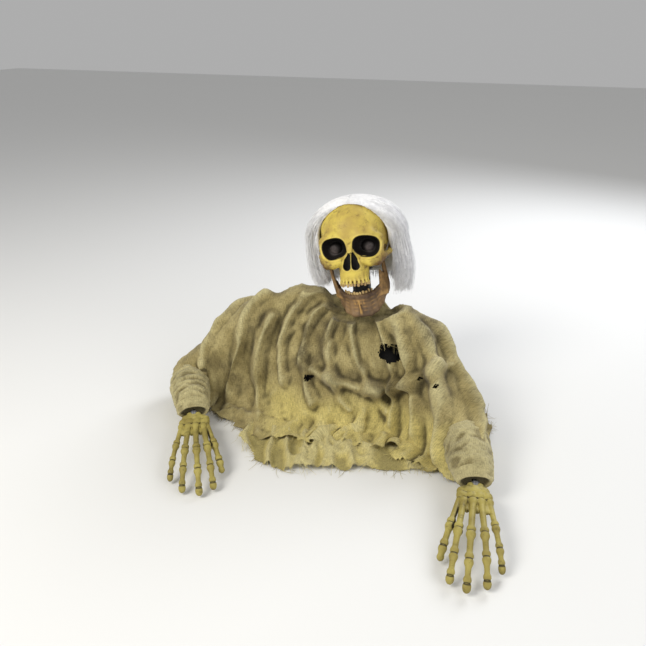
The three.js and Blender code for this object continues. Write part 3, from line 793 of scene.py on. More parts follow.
CHEST_MIDDLE = 68  # height of the stuffed chest's middle
CHEST_LEAN = 0.42  # how far the chest leans back for every millimetre up
NECK = np.array([33, 50, 176])  # middle of the shroud's neck hole
STAKE = (-14, 103)
SPACING = 4.5  # between the sheet's threads that are simulated
NECK_CUT = 48  # radius of the hole in the flat sheet; it is gathered to the ring round the neck
PLEATS = 11
FULLNESS = (1.05, 1.03)  # how much more cloth there is than the sheet's outline needs, across and along
# How far the flat sheet reaches from the neck's middle, by angle: 0 is +X and -90 the front.
REACH = [
    (-180, 300), (-157, 322), (-130, 318), (-105, 285), (-90, 268), (-75, 272), (-55, 300),
    (-38, 322), (-15, 318), (0, 298), (30, 258), (60, 212), (90, 190), (120, 208), (150, 262), (180, 300),
]  # fmt: skip


# How the sheet falls: seconds a step, mm/s2, the most mm/s, and the share of its speed that it keeps
# at first and once it settles.
STEP_TIME, GRAVITY, TOP_SPEED = 1 / 420, 9810, 2500
KEPT_SPEED, SETTLING_SPEED = 0.994, 0.98
ROUNDS, QUICK_ROUNDS = 1100, 260
CLOTH_GAP, FLOOR_GAP = 1.5, 1.2  # how far the sheet keeps from the body and the floor


def upright(p):
    """The points with the chest's middle at the origin and its lean taken out."""
    q = p - np.float32((0, 0, CHEST_MIDDLE))
    q[..., 1] -= CHEST_LEAN * q[..., 2]
    return q


def body_field(p):
    """What the shroud lies on: the stuffed chest, the shoulders and the arms."""
    f = ball(upright(p), (0, 0, 0), (125, 67, 101))
    for side, sign in SIDES.items():
        shoulder, elbow, wrist = LIMBS[side]
        inner = (-44, 28, 178) if sign < 0 else (88, 24, 166)
        f = smin(f, chain(p, [inner, (sign * 108, 12, 146), shoulder + (0, 0, 6)], [15, 24, 30], 10), 14)
        f = smin(f, rod(p, shoulder, elbow, 30, 25), 10)
        f = smin(f, rod(p, elbow, elbow + (wrist - elbow) * 0.3, 25, 26), 4)
    return np.minimum(f, rod(p, (*STAKE, 0), (*STAKE, 146), 8))


def flat_sheet():
    """The sheet before it hangs: its points in the plane, round the neck, and which grid place each has."""
    steps = np.arange(-360, 361, SPACING)
    u, v = np.meshgrid(steps, steps, indexing="ij")
    reach = np.interp(np.degrees(np.arctan2(v, u)), *zip(*REACH))
    ragged = np.array([noise.noise((a * 0.035, b * 0.035, 3)) for a, b in zip(u.ravel(), v.ravel())])
    fine = np.array([noise.noise((a * 0.12, b * 0.12, 8)) for a, b in zip(u.ravel(), v.ravel())])
    reach = reach + (14 * ragged + 9 * fine).reshape(u.shape)
    r = np.hypot(u, v)
    kept = (r > NECK_CUT) & (r < reach)
    index = np.full(u.shape, -1)
    index[kept] = np.arange(kept.sum())
    return np.column_stack([u[kept], v[kept]]), index


def pairs(index, di, dj):
    """The points that lie (di, dj) apart on the grid, in two groups that share no point."""
    h, w = index.shape
    a = index[max(0, -di) : h - max(0, di), max(0, -dj) : w - max(0, dj)]
    b = index[max(0, di) : h + min(0, di), max(0, dj) : w + min(0, dj)]
    i, j = np.indices(a.shape)
    turn = (i // di if di else j // dj) % 2
    both = (a >= 0) & (b >= 0)
    return [(a[both & (turn == k)], b[both & (turn == k)]) for k in (0, 1)]


def hang(flat, index):
    """Lets the sheet fall over the body and settle, and gives its points."""
    r = np.linalg.norm(flat, axis=1)
    angle = np.arctan2(flat[:, 1], flat[:, 0])
    inward = ((r - 0.5 * NECK_CUT * np.exp((NECK_CUT - r) / 120)) / r)[:, None] * flat
    p = np.column_stack([inward + NECK[:2], 200 - 0.3 * np.maximum(r - 70, 0)])
    pinned = r < NECK_CUT + SPACING * 1.3
    wave = np.cos(PLEATS * angle + 0.8 * np.sin(2 * angle))
    fold = np.sin(flat[:, 0] / 6.8 + 1.6 * np.sin(flat[:, 1] / 55) + 1.2 * np.sin(flat[:, 0] / 31))
    ring = (24 + 4.5 * wave + 0.6 * (r - NECK_CUT))[:, None] * np.column_stack([np.cos(angle), np.sin(angle)])
    rise = NECK[2] + 6 * np.sin(angle) - 0.25 * (r - NECK_CUT) + 3 * wave
    p[:, 2] += 8 * fold * np.clip(r / 60 - 1, 0, 1)
    p[pinned] = np.column_stack([ring + NECK[:2], rise])[pinned]
    free = np.where(pinned, 0.0, 1.0)
    links = []
    for di, dj, stiff in ((1, 0, 1), (0, 1, 1), (1, 1, 0.5), (1, -1, 0.5), (2, 0, 0.3), (0, 2, 0.3)):
        for a, b in pairs(index, di, dj):
            if len(a):
                share = free[a] + free[b]
                share[share == 0] = 1
                rest = SPACING * math.hypot(di * FULLNESS[0], dj * FULLNESS[1])
                links.append((a, b, rest, stiff * free[a] / share, stiff * free[b] / share))
    speed = np.zeros_like(p)
    rounds = ROUNDS
    for step in range(rounds):
        speed[:, 2] -= GRAVITY * STEP_TIME
        speed *= KEPT_SPEED if step < rounds * 0.6 else SETTLING_SPEED
        before = p.copy()
        p = p + speed * STEP_TIME * free[:, None]
        for a, b, rest, wa, wb in links:
            way = p[b] - p[a]
            length = np.sqrt(np.einsum("ij,ij->i", way, way)) + 1e-9
            way *= ((length - rest) / length)[:, None]
            p[a] += way * wa[:, None]
            p[b] -= way * wb[:, None]
        settle(p, before, free)
        speed = (p - before) / STEP_TIME
        fast = np.linalg.norm(speed, axis=1)
        speed *= np.minimum(1, TOP_SPEED / np.maximum(fast, 1))[:, None]
    return p


def settle(p, before, free):
    """Keeps the sheet out of the body and the floor, and rubs it against them."""
    near = np.flatnonzero((body_field(p.astype(np.float32)) < CLOTH_GAP) & (free > 0))
    q = p[near].astype(np.float32)
    depth = body_field(q)
    out = np.stack([body_field(q + np.float32(e)) - depth for e in np.eye(3) * 0.5], 1) / 0.5
    out /= np.maximum(np.linalg.norm(out, axis=1), 1e-6)[:, None]
    push = np.maximum(CLOTH_GAP - depth, 0)[:, None] * out
    moved_by = p[near] + push - before[near]
    along = moved_by - np.einsum("ij,ij->i", moved_by, out)[:, None] * out
    p[near] += push - 0.35 * along
    low = p[:, 2] < FLOOR_GAP
    p[low, 2] = FLOOR_GAP
    p[low, :2] -= 0.5 * (p[low, :2] - before[low, :2])


def grid_quads(index):
    a, b, c, d = index[:-1, :-1], index[1:, :-1], index[1:, 1:], index[:-1, 1:]
    whole = (a >= 0) & (b >= 0) & (c >= 0) & (d >= 0)
    return np.column_stack([corner[whole] for corner in (a, b, c, d)])


def doubled(index, values):
    """The grid with a new point between every two, and the values it has there."""
    h, w = index.shape
    known = np.full((h, w, values.shape[1]), np.nan)
    known[index >= 0] = values[index[index >= 0]]
    full = np.full((2 * h - 1, 2 * w - 1, values.shape[1]), np.nan)
    full[::2, ::2] = known
    full[1::2, ::2] = (known[1:] + known[:-1]) / 2
    full[::2, 1::2] = (known[:, 1:] + known[:, :-1]) / 2
    full[1::2, 1::2] = (known[1:, 1:] + known[:-1, 1:] + known[1:, :-1] + known[:-1, :-1]) / 4
    kept = np.isfinite(full[..., 0])
    finer = np.full(kept.shape, -1)
    finer[kept] = np.arange(kept.sum())
    return finer, full[kept]


def rough(points, scale, seed, stretch=(1, 1, 1)):
    """Smooth noise from -1 to 1 at each point, with features about 1 / scale wide."""
    q = np.asarray(points, float) * scale * np.array(stretch) + seed
    return np.array([noise.noise(v) for v in q.tolist()])


def normals_of(points, quads):
    across = np.cross(points[quads[:, 2]] - points[quads[:, 0]], points[quads[:, 3]] - points[quads[:, 1]])
    total = np.zeros_like(points)
    for i in range(4):
        np.add.at(total, quads[:, i], across)
    return total / np.maximum(np.linalg.norm(total, axis=1), 1e-9)[:, None]


# The shroud's long folds, as fans on the flat sheet round the neck, where -90 degrees is the front.
# Each fan: how many, the first and last fold's angle where they start, the same where they end, the
# distances from the neck's middle at which they start and end, and their height and width.
FANS = (
    (4, (-165, -95), (-120, -70), (75, 190), 12, 6),  # from the neck down the chest
    (4, (-55, -15), (-75, -35), (75, 280), 15, 8),  # over the right shoulder to the ground
    (3, (-175, -150), (-150, -115), (150, 290), 13, 8),  # from the left arm to the ground
    (2, (-100, -110), (-30, -50), (150, 170), 12, 7),  # swags that hang across the front
)
# Its holes on the flat sheet: angle and distance from the neck's middle, half width and half height.
TEARS = ((-60, 120, 20, 14), (-110, 160, 7, 4), (-45, 170, 3.4, 3), (-40, 190, 3.4, 3))
SHOULDER_SEAMS = 105  # the cloth beyond x = -105 and 105 is cut off as a piece over each upper arm


def round_neck(degrees, distance):
    """A place on the flat sheet."""
    a = math.radians(degrees)
    return np.array((math.cos(a), math.sin(a))) * distance


def fold_ways():
    """(height, width, way) of every long fold, its way being points on the flat sheet."""
    for count, starts, ends, (near, far), height, width in FANS:
        for start, end in zip(np.linspace(*starts, count), np.linspace(*ends, count)):
            steps = np.linspace(0, 1, 9)
            way = [round_neck(start + (end - start) * t, near + (far - near) * t) for t in steps]
            yield height, width, way


def fold_up(p, flat, quads, path):
    """Adds the folds that gather at the neck and fall down the chest."""
    out = normals_of(p, quads)
    out *= np.sign(np.sum(out[:, 2]))
    u, v = flat.T
    r, angle = np.hypot(u, v), np.arctan2(v, u)
    lift = np.zeros(len(p))
    for height, width, way in fold_ways():
        d = np.min([rod(flat, a, b, 0, 0) for a, b in zip(way, way[1:])], axis=0)
        d = d + 3 * rough(p, 0.03, height) + 1.2 * rough(p, 0.09, height)
        trough = np.exp(-(((d - 2.2 * width) / width) ** 2))
        lift += height * np.exp(-((d / width) ** 2)) - 0.32 * height * trough
    spokes = np.column_stack([3.6 * np.cos(angle), 3.6 * np.sin(angle), r * 0.0045])
    ridged = 1 - 2 * np.abs(rough(spokes, 1, 11)) - 2 * np.abs(rough(spokes, 2.1, 5)) * 0.4
    lift += 10 * (ridged - 0.3) * ramp(r, NECK_CUT, 110)
    onto = 1 - ramp(p[:, 2], 4, 26)
    ground = np.column_stack([u, v, 0 * u])
    crumple = 1 - 2.8 * np.abs(rough(ground, 0.026, 2, (1, 0.5, 1))) - 0.5 * np.abs(rough(ground, 0.06, 9))
    lift = np.maximum(lift, -0.5 + 0.15 * lift)
    lift = lift * (1 - 0.5 * onto) + onto * 9 * np.maximum(crumple + 0.1, 0)
    lift += 1.4 * rough(ground, 0.11, 4, (1, 0.4, 1))
    p = p + out * (lift + 2.0)[:, None]
    p[:, 2] = np.maximum(p[:, 2], 1.0)
    p[:, 0] = np.clip(p[:, 0], -262, 262)
    p[:, 1] = np.minimum(p[:, 1], 120 + 0.5 * np.maximum(p[:, 1] - 120, 0))
    return hold_down(p, path)


def jaw_path(made):
    """Where the jaw gets to, in the figure's frame, over every turn of the head and drop of the jaw."""
    co = np.empty(len(made.data.vertices) * 3, np.float32)
    made.data.vertices.foreach_get("co", co)
    points = co.reshape(-1, 3)[::9].astype(float)
    cells = {}
    for drop in (0, JOINTS["jaw_open"]["range_deg"][1]):
        for turn in np.linspace(*JOINTS["head_turn"]["range_deg"], 9):
            way = spin("head_turn", turn) @ spin("jaw_open", drop)
            for x, y, z in (moved(way, points) - FIGURE[:3, 3]) / MM:
                cell = (round(x / 5), round(y / 5))
                cells[cell] = min(cells.get(cell, 400), z)
    return np.array([(5 * x, 5 * y, z) for (x, y), z in cells.items()])


def spin(joint, degrees):
    """4x4 of a turn about one of the joints."""
    at, axis = (Vector(JOINTS[joint][key]) for key in ("pos_m", "axis"))
    turn = Matrix.Rotation(math.radians(degrees), 4, axis)
    return np.array(Matrix.Translation(at) @ turn @ Matrix.Translation(-at))


def hold_down(p, path):
    """Keeps the cloth under the path of the jaw, and below the hair, as the head turns."""
    around = np.linalg.norm(p[:, :2] - NECK[:2], axis=1)
    p[:, 2] = np.minimum(p[:, 2], 189 + 300 * ramp(around, 94, 124))
    near = np.flatnonzero((around < 150) & (p[:, 2] > 120))
    for i in near:
        away = np.hypot(path[:, 0] - p[i, 0], path[:, 1] - p[i, 1])
        ceiling = (path[:, 2] - 4 + 1.2 * np.maximum(away - 7, 0)).min()
        if p[i, 2] > ceiling:
            p[i, 2] = ceiling
    return p


def threads(p, out, rim, lengths, seed):
    """Loose gauze threads along the rim, as narrow strips of four quads each: their points, their
    quads, numbered on from p, and the point of p that each of their points starts from."""
    rng = np.random.default_rng(seed)
    ways = p[rim[:, 0]] - p[rim[:, 1]]
    ways /= np.maximum(np.linalg.norm(ways, axis=1), 1e-6)[:, None]
    points, quads = [], []
    for start, way, length in zip(rim[:, 0], ways, lengths):
        at = p[start]
        side = unit(np.cross(way, out[start]) + 1e-6) * 0.35
        bend = rng.normal(0, 0.35, 3)
        for k in range(5):
            t = k / 4
            q = at + way * length * t + bend * length * t * t + np.array((0, 0, -0.3)) * length * t * t
            q[2] = max(q[2], 0.8)
            points += [q - side * (1 - 0.5 * t), q + side * (1 - 0.5 * t)]
        base = len(points) - 10
        quads += [(base + i, base + i + 1, base + i + 3, base + i + 2) for i in (0, 2, 4, 6)]
    return np.array(points), np.array(quads) + len(p), np.repeat(rim[:, 0], 10)


def cut_with_threads(flat, source, step):
    """The flat sheet's points, then flat points for the threads, step apart along each thread."""
    along = np.repeat(np.tile(np.arange(5), len(source) // 10), 2)[:, None] * step
    across = np.tile([[0, 0], [0.7, 0]], (len(source) // 2, 1))
    return np.vstack([flat, flat[source] + across + along])


def tones(crease, patch, sheer, ridge):
    """The gauze's paint attributes, each one number or one for every point: crease is painted shade in folds
    and ridge a painted highlight on their crests.
    """
    values = {"crease": crease, "patch": patch, "sheer": sheer, "ridge": ridge}
    return {key: value + 0 * crease for key, value in values.items()}


def rim_points(quads):
    """The points on the open edges of the mesh, and for each a point across its quad."""
    edges = {}
    for quad in quads.tolist():
        for i in range(4):
            a, b = quad[i], quad[(i + 1) % 4]
            key = (min(a, b), max(a, b))
            edges[key] = None if key in edges else (a, quad[(i + 3) % 4])
    return np.array([pair for pair in edges.values() if pair])


def sheet_object(name, p, quads, flat, paint, to_row, body, node, **held):
    """A cloth object from a whole mesh's points and some of its quads."""
    used, quads = np.unique(quads, return_inverse=True)
    quads = quads.reshape(-1, 4)
    made = mesh_object(name, moved(to_row, p[used]), quads, paint["material"])
    for key, values in paint["attributes"].items():
        paint_attribute(made, key, values[used])
    corner = np.empty(len(made.data.loops), np.int32)
    made.data.loops.foreach_get("vertex_index", corner)
    weave = made.data.uv_layers.new(name="weave")
    weave.data.foreach_set("uv", (flat[used][corner] * MM).astype(np.float32).ravel())
    if "normals" in paint:
        made.data.normals_split_custom_set_from_vertices(paint["normals"][used].tolist())
    cut = flat[used]
    a, b, c, d = (cut[quads[:, i]] for i in range(4))
    diagonal, other = c - a, d - b
    area = np.abs(diagonal[:, 0] * other[:, 1] - diagonal[:, 1] * other[:, 0]).sum() / 2
    size = cut.max(axis=0) - cut.min(axis=0)
    area = float(np.clip(area, 0.3 * size.prod(), size.prod()))
    if body:
        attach(made, body)
    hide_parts(node)
    return made


def shroud(materials, path):
    flat, index = flat_sheet()
    p = hang(flat, index)
    values = np.column_stack([p, flat])
    index, values = doubled(index, values)
    p, flat = values[:, :3], values[:, 3:]
    quads = grid_quads(index)
    p = relax(p, quads, 3)
    p = fold_up(p, flat, quads, path)
    smooth = relax(p, quads, 3)
    out = normals_of(smooth, quads)
    out *= np.sign(np.sum(out[:, 2]))
    dent = np.einsum("ij,ij->i", relax(smooth, quads, 5) - smooth, out)
    middle = p[quads].mean(axis=1)
    torn = np.zeros(len(quads), bool)
    tears = []
    for degrees, distance, wide, high in TEARS:
        nearest = np.argmin(np.hypot(*(flat - round_neck(degrees, distance)).T))
        tears.append((p[nearest].copy(), wide, high))
    for at, wide, high in tears:
        q = (middle - at) / (wide, 40, high)
        torn |= np.einsum("ij,ij->i", q, q) < 1 + 0.7 * rough(middle, 0.11, 6)
    quads = quads[~torn]
    rim = rim_points(quads)
    rim = rim[np.hypot(*flat[rim[:, 0]].T) > NECK_CUT + 12]
    rng = np.random.default_rng(5)
    rim = rim[rng.random(len(rim)) < 0.55]
    lengths = rng.uniform(3, 13, len(rim))
    for at, wide, _ in tears:
        inside = np.linalg.norm(p[rim[:, 0]] - at, axis=1) < wide + 12
        lengths[inside & (p[rim[:, 0], 2] < at[2] + 6)] *= 0.25
    more, strips, source = threads(p, out, rim, lengths, 9)
    shade = rough(p, 0.016, 21) + 0.6 * rough(p, 0.04, 14)
    low = (1 - ramp(p[:, 2] + 14 * rough(p, 0.03, 8), 28, 74)) * ramp(p[:, 0] + 0.4 * p[:, 1], -150, -80)
    low *= 1 - ramp(p[:, 1], -50, -10)
    patch = ramp(shade, 0.12, 0.6) * (1 - 0.6 * low)
    # Painted shade in the folds' valleys and a painted highlight on their crests.
    paint = tones(ramp(dent, 0.05, 0.9), patch, low, ramp(-dent, 0.15, 1.2))
    everything = np.vstack([p, more])
    cut = cut_with_threads(flat, source, 1.6)
    cloth = {
        "material": materials["gauze"],
        "attributes": {k: np.concatenate([v, v[source]]) for k, v in paint.items()},
        "normals": np.vstack([out, out[source]]),
    }
    quads = np.vstack([quads, strips])
    x = everything[quads].mean(axis=1)[:, 0]
    held = {"held": "draped"}
    sheet_object(
        "shroud", everything, quads[np.abs(x) <= SHOULDER_SEAMS], cut * FULLNESS, cloth, FIGURE, "torso",
        "shroud_body", rests_on=["chest_stuffing", "yoke_wire"], **held,
    )  # fmt: skip
    for side, sign in SIDES.items():
        beyond = quads[sign * x > SHOULDER_SEAMS]
        part = sheet_object(
            f"shroud_over_{side}_arm", everything, beyond, cut * FULLNESS, cloth, FIGURE,
            None, f"shroud_{side}_sleeve", rests_on=[f"{side}_upper_arm_stuffing"], **held,
        )  # fmt: skip
        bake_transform(part)


# ------------------------------------------------------------------ the sleeves, cuffs and rag
def limb_frame(side):
    """Figure frame of a forearm: Z from the elbow to the wrist, and X level."""
    _, elbow, wrist = LIMBS[side]
    z = unit(wrist - elbow)
    x = unit(np.cross(z, (0, 0, 1)))
    return elbow, x, np.cross(z, x), z, np.linalg.norm(wrist - elbow)


def tube(side, profile, around, rows, wrinkle, seed):
    """A wrinkled tube of cloth round a forearm. profile is (distance from the elbow, radius) pairs."""
    elbow, x, y, z, _ = limb_frame(side)
    profile = np.array(profile, float)
    run = np.concatenate([[0], np.cumsum(np.linalg.norm(np.diff(profile, axis=0), axis=1))])
    t = np.linspace(0, run[-1], rows)
    along, radius = np.interp(t, run, profile[:, 0]), np.interp(t, run, profile[:, 1])
    turn = np.linspace(0, 2 * math.pi, around + 1)
    s, a = np.meshgrid(along, turn, indexing="ij")
    r = np.repeat(radius[:, None], around + 1, axis=1)
    soft = np.column_stack([1.1 * np.cos(a).ravel(), 1.1 * np.sin(a).ravel(), s.ravel() * 0.075])
    rings = 1 - 2.4 * np.abs(rough(soft, 1, seed)) - 0.9 * np.abs(rough(soft, 2.3, seed + 4))
    r = r + wrinkle * rings.reshape(r.shape)
    high = r * np.sin(a) * (1 - 0.48 * ramp(s, 90, 114))  # the sleeve's end lies flat on the hand
    p = elbow + (r * np.cos(a))[..., None] * x + high[..., None] * y + s[..., None] * z
    p = p.reshape(-1, 3)
    p[:, 2] = np.maximum(p[:, 2], 1.2 + 0.05 * (p[:, 2] - 1.2))
    place_in = np.arange(rows * (around + 1)).reshape(rows, -1)
    flat = np.column_stack([(a * radius.mean()).ravel(), np.repeat(t, around + 1)])
    dent = (1 - ramp(rings, -0.7, 0.5)) * min(1, wrinkle / 2)
    return p, grid_quads(place_in), flat, dent


def sleeves(materials):
    shapes = {
        "left": [(-24, 6), (-18, 18), (-6, 23.5), (8, 24.5), (24, 29), (40, 30.5), (75, 27.5), (108, 24)],
        "right": [(-24, 6), (-18, 18), (-6, 23.5), (8, 25), (24, 31), (40, 33), (75, 30), (108, 24.5)],
    }
    for side, profile in shapes.items():
        held = {"held": "gathered", "rests_on": [f"{side}_forearm_stuffing"]}
        sizes = ((150, 110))
        p, quads, flat, dent = tube(side, profile, *sizes, 2.6 if side == "left" else 1.8, 3 + len(side))
        shade = rough(p, 0.03, 17)
        # Painted shade in the wrinkles' troughs and a painted highlight everywhere else.
        attributes = tones(0.55 * dent, 0.6 * ramp(shade, -0.2, 0.8), 0, 1 - dent)
        cloth = {"material": materials["gauze"], "attributes": attributes}
        body = f"{side}_forearm"
        sheet_object(f"{side}_sleeve", p, quads, flat, cloth, FIGURE, body, f"{body}_sleeve", **held)
        r = profile[-1][1]
        fold = [(109, 3.2), (109, 15), (113, 18.5), (115, 20), (115.5, 22), (113, 23.6), (101, r + 1.4)]
        p, quads, flat, dent = tube(side, fold, sizes[0], 44, 1.1, 8 + len(side))
        # Painted shade: the flat disc across the sleeve's end and the hem's inner turn are dark, with the
        # wrinkles' troughs; the rest takes a painted highlight.
        inner = 1 - ramp(flat[:, 1], 15, 19.5)
        attributes = tones(np.maximum(0.5 * dent, inner), 0, 0, 1 - dent)
        cloth = {"material": materials["gauze"], "attributes": attributes}
        held = {"held": "folded", "rests_on": [f"{side}_forearm_stuffing"]}
        sheet_object(f"{side}_hem", p, quads, flat, cloth, FIGURE, body, f"{side}_cuff", **held)


RAG_POINT = (-25, -215)  # the rag comes forward to a blunt point here
RAG_SLOPES = (0.7, 0.37)  # how fast its edge goes back on either side of the point


def rag(materials):
    """The thin piece of gauze spread on the ground in front of the chest."""
    step = 2.2
    u, v = np.meshgrid(np.arange(-96, 206, step), np.arange(-214, -66, step), indexing="ij")
    off = u - RAG_POINT[0]
    front = RAG_POINT[1] + np.where(off < 0, *RAG_SLOPES) * np.hypot(off, 12)
    spots = np.column_stack([u.ravel(), v.ravel(), 0 * u.ravel()])
    front = front + 9 * rough(spots, 0.07, 3).reshape(u.shape) + 5 * rough(spots, 0.25, 7).reshape(u.shape)
    kept = v > front
    index = np.full(u.shape, -1)
    index[kept] = np.arange(kept.sum())
    flat = np.column_stack([u[kept], v[kept]])
    level = np.column_stack([flat, np.zeros(len(flat))])
    turned = np.column_stack([flat[:, 0] + 0.35 * flat[:, 1], flat[:, 1], 0 * flat[:, 0]])
    broad = np.abs(rough(turned, 0.03, 31, (1, 0.35, 1)))
    narrow = np.abs(rough(turned, 0.07, 12, (1, 0.5, 1)))
    ridges = 1 - 2.8 * broad - 0.8 * narrow
    out_of_cloth = ramp(-flat[:, 1], 84, 120)
    folds = 13 * (1 - 0.8 * ramp(flat[:, 0], 110, 165)) * np.maximum(ridges, 0) * out_of_cloth
    high = 1.0 + folds + 0.6 * (1 + rough(level, 0.2, 5)) * out_of_cloth
    p = np.column_stack([flat, high])
    quads = grid_quads(index)
    out = normals_of(p, quads)
    out *= np.sign(np.sum(out[:, 2]))
    rim = rim_points(quads)
    rng = np.random.default_rng(12)
    rim = rim[(rng.random(len(rim)) < 0.5) & (flat[rim[:, 0], 1] < -100)]
    more, strips, source = threads(p, out, rim, rng.uniform(4, 18, len(rim)), 4)
    # Painted shade between the folds and a painted highlight on them.
    paint = tones((1 - ramp(ridges, -0.5, 0.3)) * 0.5, 0, 1, ramp(ridges, 0, 0.7))
    cloth = {
        "material": materials["gauze"],
        "attributes": {k: np.concatenate([value, value[source]]) for k, value in paint.items()},
    }
    cut = cut_with_threads(flat, source, 1)
    quads = np.vstack([quads, strips])
    sheet_object(
        "ground_rag", np.vstack([p, more]), quads, cut, cloth, FIGURE, "torso", "front_rag", held="laid",
        rests_on=["shroud"],
    )  # fmt: skip


# ------------------------------------------------------------------ the stuffing
def pad(name, field, low, high, body, node, materials):
    step = 3.0
    low = np.array(low, float)
    values = sampled(field, low, np.array(high, float), step)
    points, quads = skin(values, low, step)
    points = relax(points, quads, 2)
    out = normals_of(points, quads)
    out *= np.sign(np.sum(out * (points - points.mean(axis=0))))
    points += out * (1.2 * rough(points, 0.05, 2) + 0.5 * rough(points, 0.15, 6))[:, None]
    made = mesh_object(name, moved(FIGURE, points), quads, materials["black_cloth"])
    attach(made, body)
    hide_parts(node)


def pads(materials):
    def chest(p):
        f = smax(ball(upright(p), (0, 0, 0), (115, 58, 94)), 4 - p[..., 2], 6)
        return smax(f, p[..., 2] - 138, 10)

    pad("chest_stuffing", chest, (-126, -100, -4), (126, 108, 172), "torso", "chest_pad", materials)
    for side in SIDES:
        shoulder, elbow, wrist = LIMBS[side]
        spans = (
            ("upper_arm", shoulder, elbow, 44, 94, 21, 19, f"{side}_upper_arm"),
            ("forearm", elbow, wrist, 52, 76, 18.5, 18.5, f"{side}_forearm"),
        )
        for part, a, b, start, end, ra, rb, body in spans:
            way = unit(b - a)
            ends = np.array([a + way * start, a + way * end])

            def tube_of_stuffing(p, ends=ends, ra=ra, rb=rb):
                return rod(p, ends[0], ends[1], ra, rb)

            low, high = ends.min(axis=0) - 28, ends.max(axis=0) + 28
            name, node = f"{side}_{part}_stuffing", f"{side}_{part}_pad"
            pad(name, tube_of_stuffing, low, high, body, node, materials)


# ------------------------------------------------------------------ hair
def hairline(z):
    """How far forward the hair starts at a height on the head."""
    return 2.5 - 33 * ramp(z, -34, 66)


def hair_way(side, turn, start, layer, low, behind=None):
    """One strand in the head's frame: over the top from the parting, then down. turn is 0 at the
    side and 90 at the back; layer is 0 on the net cap and 1 at the outside. A strand given behind
    keeps that far behind the hairline instead."""
    a = math.radians(turn)
    t = np.linspace(math.radians(start), math.radians(96), 10)
    if behind is None:
        way = np.column_stack([np.sin(t) * math.cos(a) * side, np.sin(t) * math.sin(a), np.cos(t)])
    else:
        plane = np.clip((hairline(17 + 54 * np.cos(t)) + behind - 8) / 63.5, -0.95, 0.95)
        left_over = np.sqrt(1 - plane * plane)
        way = np.column_stack([np.sin(t) * side * left_over, plane, np.cos(t) * left_over])
    inner = way * (58.6, 63.5, 58.6) + (0, 8, 17)
    over = inner + layer * (way * (78 if side > 0 else 76, 69, 62.5) + (0, 14, 15) - inner)
    falls = np.linspace(0, 1, 7)[1:, None]
    tuck = 1 + (0.09 if side > 0 else 0.03) * falls - 0.12 * falls**4
    down = np.hstack([over[-1, :2] * tuck, over[-1, 2] + (low - over[-1, 2]) * falls])
    down[:, 1] += (10 if behind is not None else 0) * falls[:, 0]
    return np.vstack([over, down])


def strand_mesh(ways, thick):
    """Three-sided tubes along many ways."""
    points, quads = [], []
    for way in ways:
        tangent = np.gradient(way, axis=0)
        tangent /= np.maximum(np.linalg.norm(tangent, axis=1), 1e-6)[:, None]
        side = np.cross(tangent, (0.3, 0.9, 0.2))
        side /= np.maximum(np.linalg.norm(side, axis=1), 1e-6)[:, None]
        lift = np.cross(tangent, side)
        n, base = len(way), len(points)
        radius = thick * np.linspace(1, 0.45, n)[:, None]
        ring = [way + radius * (math.cos(q) * side + math.sin(q) * lift) for q in (0, 2.1, 4.2)]
        points.append(np.stack(ring, axis=1).reshape(-1, 3))
        first = base * n * 3 + np.arange(n - 1)[:, None] * 3
        for i, j in ((0, 1), (1, 2), (2, 0)):
            quads.append(np.hstack([first + i, first + j, first + j + 3, first + i + 3]))
    return np.vstack(points), np.vstack(quads)


def hair(materials):
    rng = np.random.default_rng(23)
    count = 6000
    ways = []
    for _ in range(count):
        side = rng.choice((-1, 1))
        turn = rng.triangular(-14, 4, 92)
        layer = 1.08 - 1.06 * rng.random() ** 1.5
        if rng.random() < 0.05:
            layer += rng.uniform(0, 0.3)
        low = rng.uniform(-80, -58) if side > 0 else rng.uniform(-60, -42)
        if turn > 25:
            low = max(low, rng.uniform(-62, -50))
        behind = rng.triangular(-1, 4, 48) if rng.random() < 0.5 else None
        way = hair_way(side, turn, rng.uniform(0, 30), layer, low, behind)
        t = np.linspace(0, 1, len(way))[:, None]
        wave = np.sin(t * rng.uniform(4, 9) + rng.uniform(0, 6)) * rng.normal(0, 1.6, 3)
        way = way + wave * t + rng.normal(0, 2.6, 3) * t**2
        ways.append(way)
    points, quads = strand_mesh(ways, 0.42)
    strands = mesh_object("hair_strands", moved(HEAD, points), quads, materials["hair"])
    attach(strands, "head")

    def under(p):
        q = np.concatenate([p[..., :2], np.maximum(p[..., 2:], 8)], -1)
        cover = smin(ball(q, (0, 16, 14), (69, 61, 60)), ball(q, (0, 8, 17), (58.8, 63.8, 58.8)), 2)
        cover = smax(cover, -50 - p[..., 2], 6)
        q = np.concatenate([p[..., :2], np.maximum(p[..., 2:], 2)], -1)
        inside = ball(q, (0, 8, 17), (56.6, 61.6, 56.6))
        front = hairline(p[..., 2]).astype(np.float32)
        return smax(smax(cover, -inside, 1), front + 0.5 - p[..., 1], 1.5)

    low, step = np.array((-76, -36, -62)), 2.0
    field = sampled(under, low, np.array((76, 84, 86)), step)
    points, quads = skin(field, low, step)
    mass = mesh_object("hair_mass", moved(HEAD, relax(points, quads, 2)), quads, materials["hair"])
    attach(mass, "head")
    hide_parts("wig_hair")


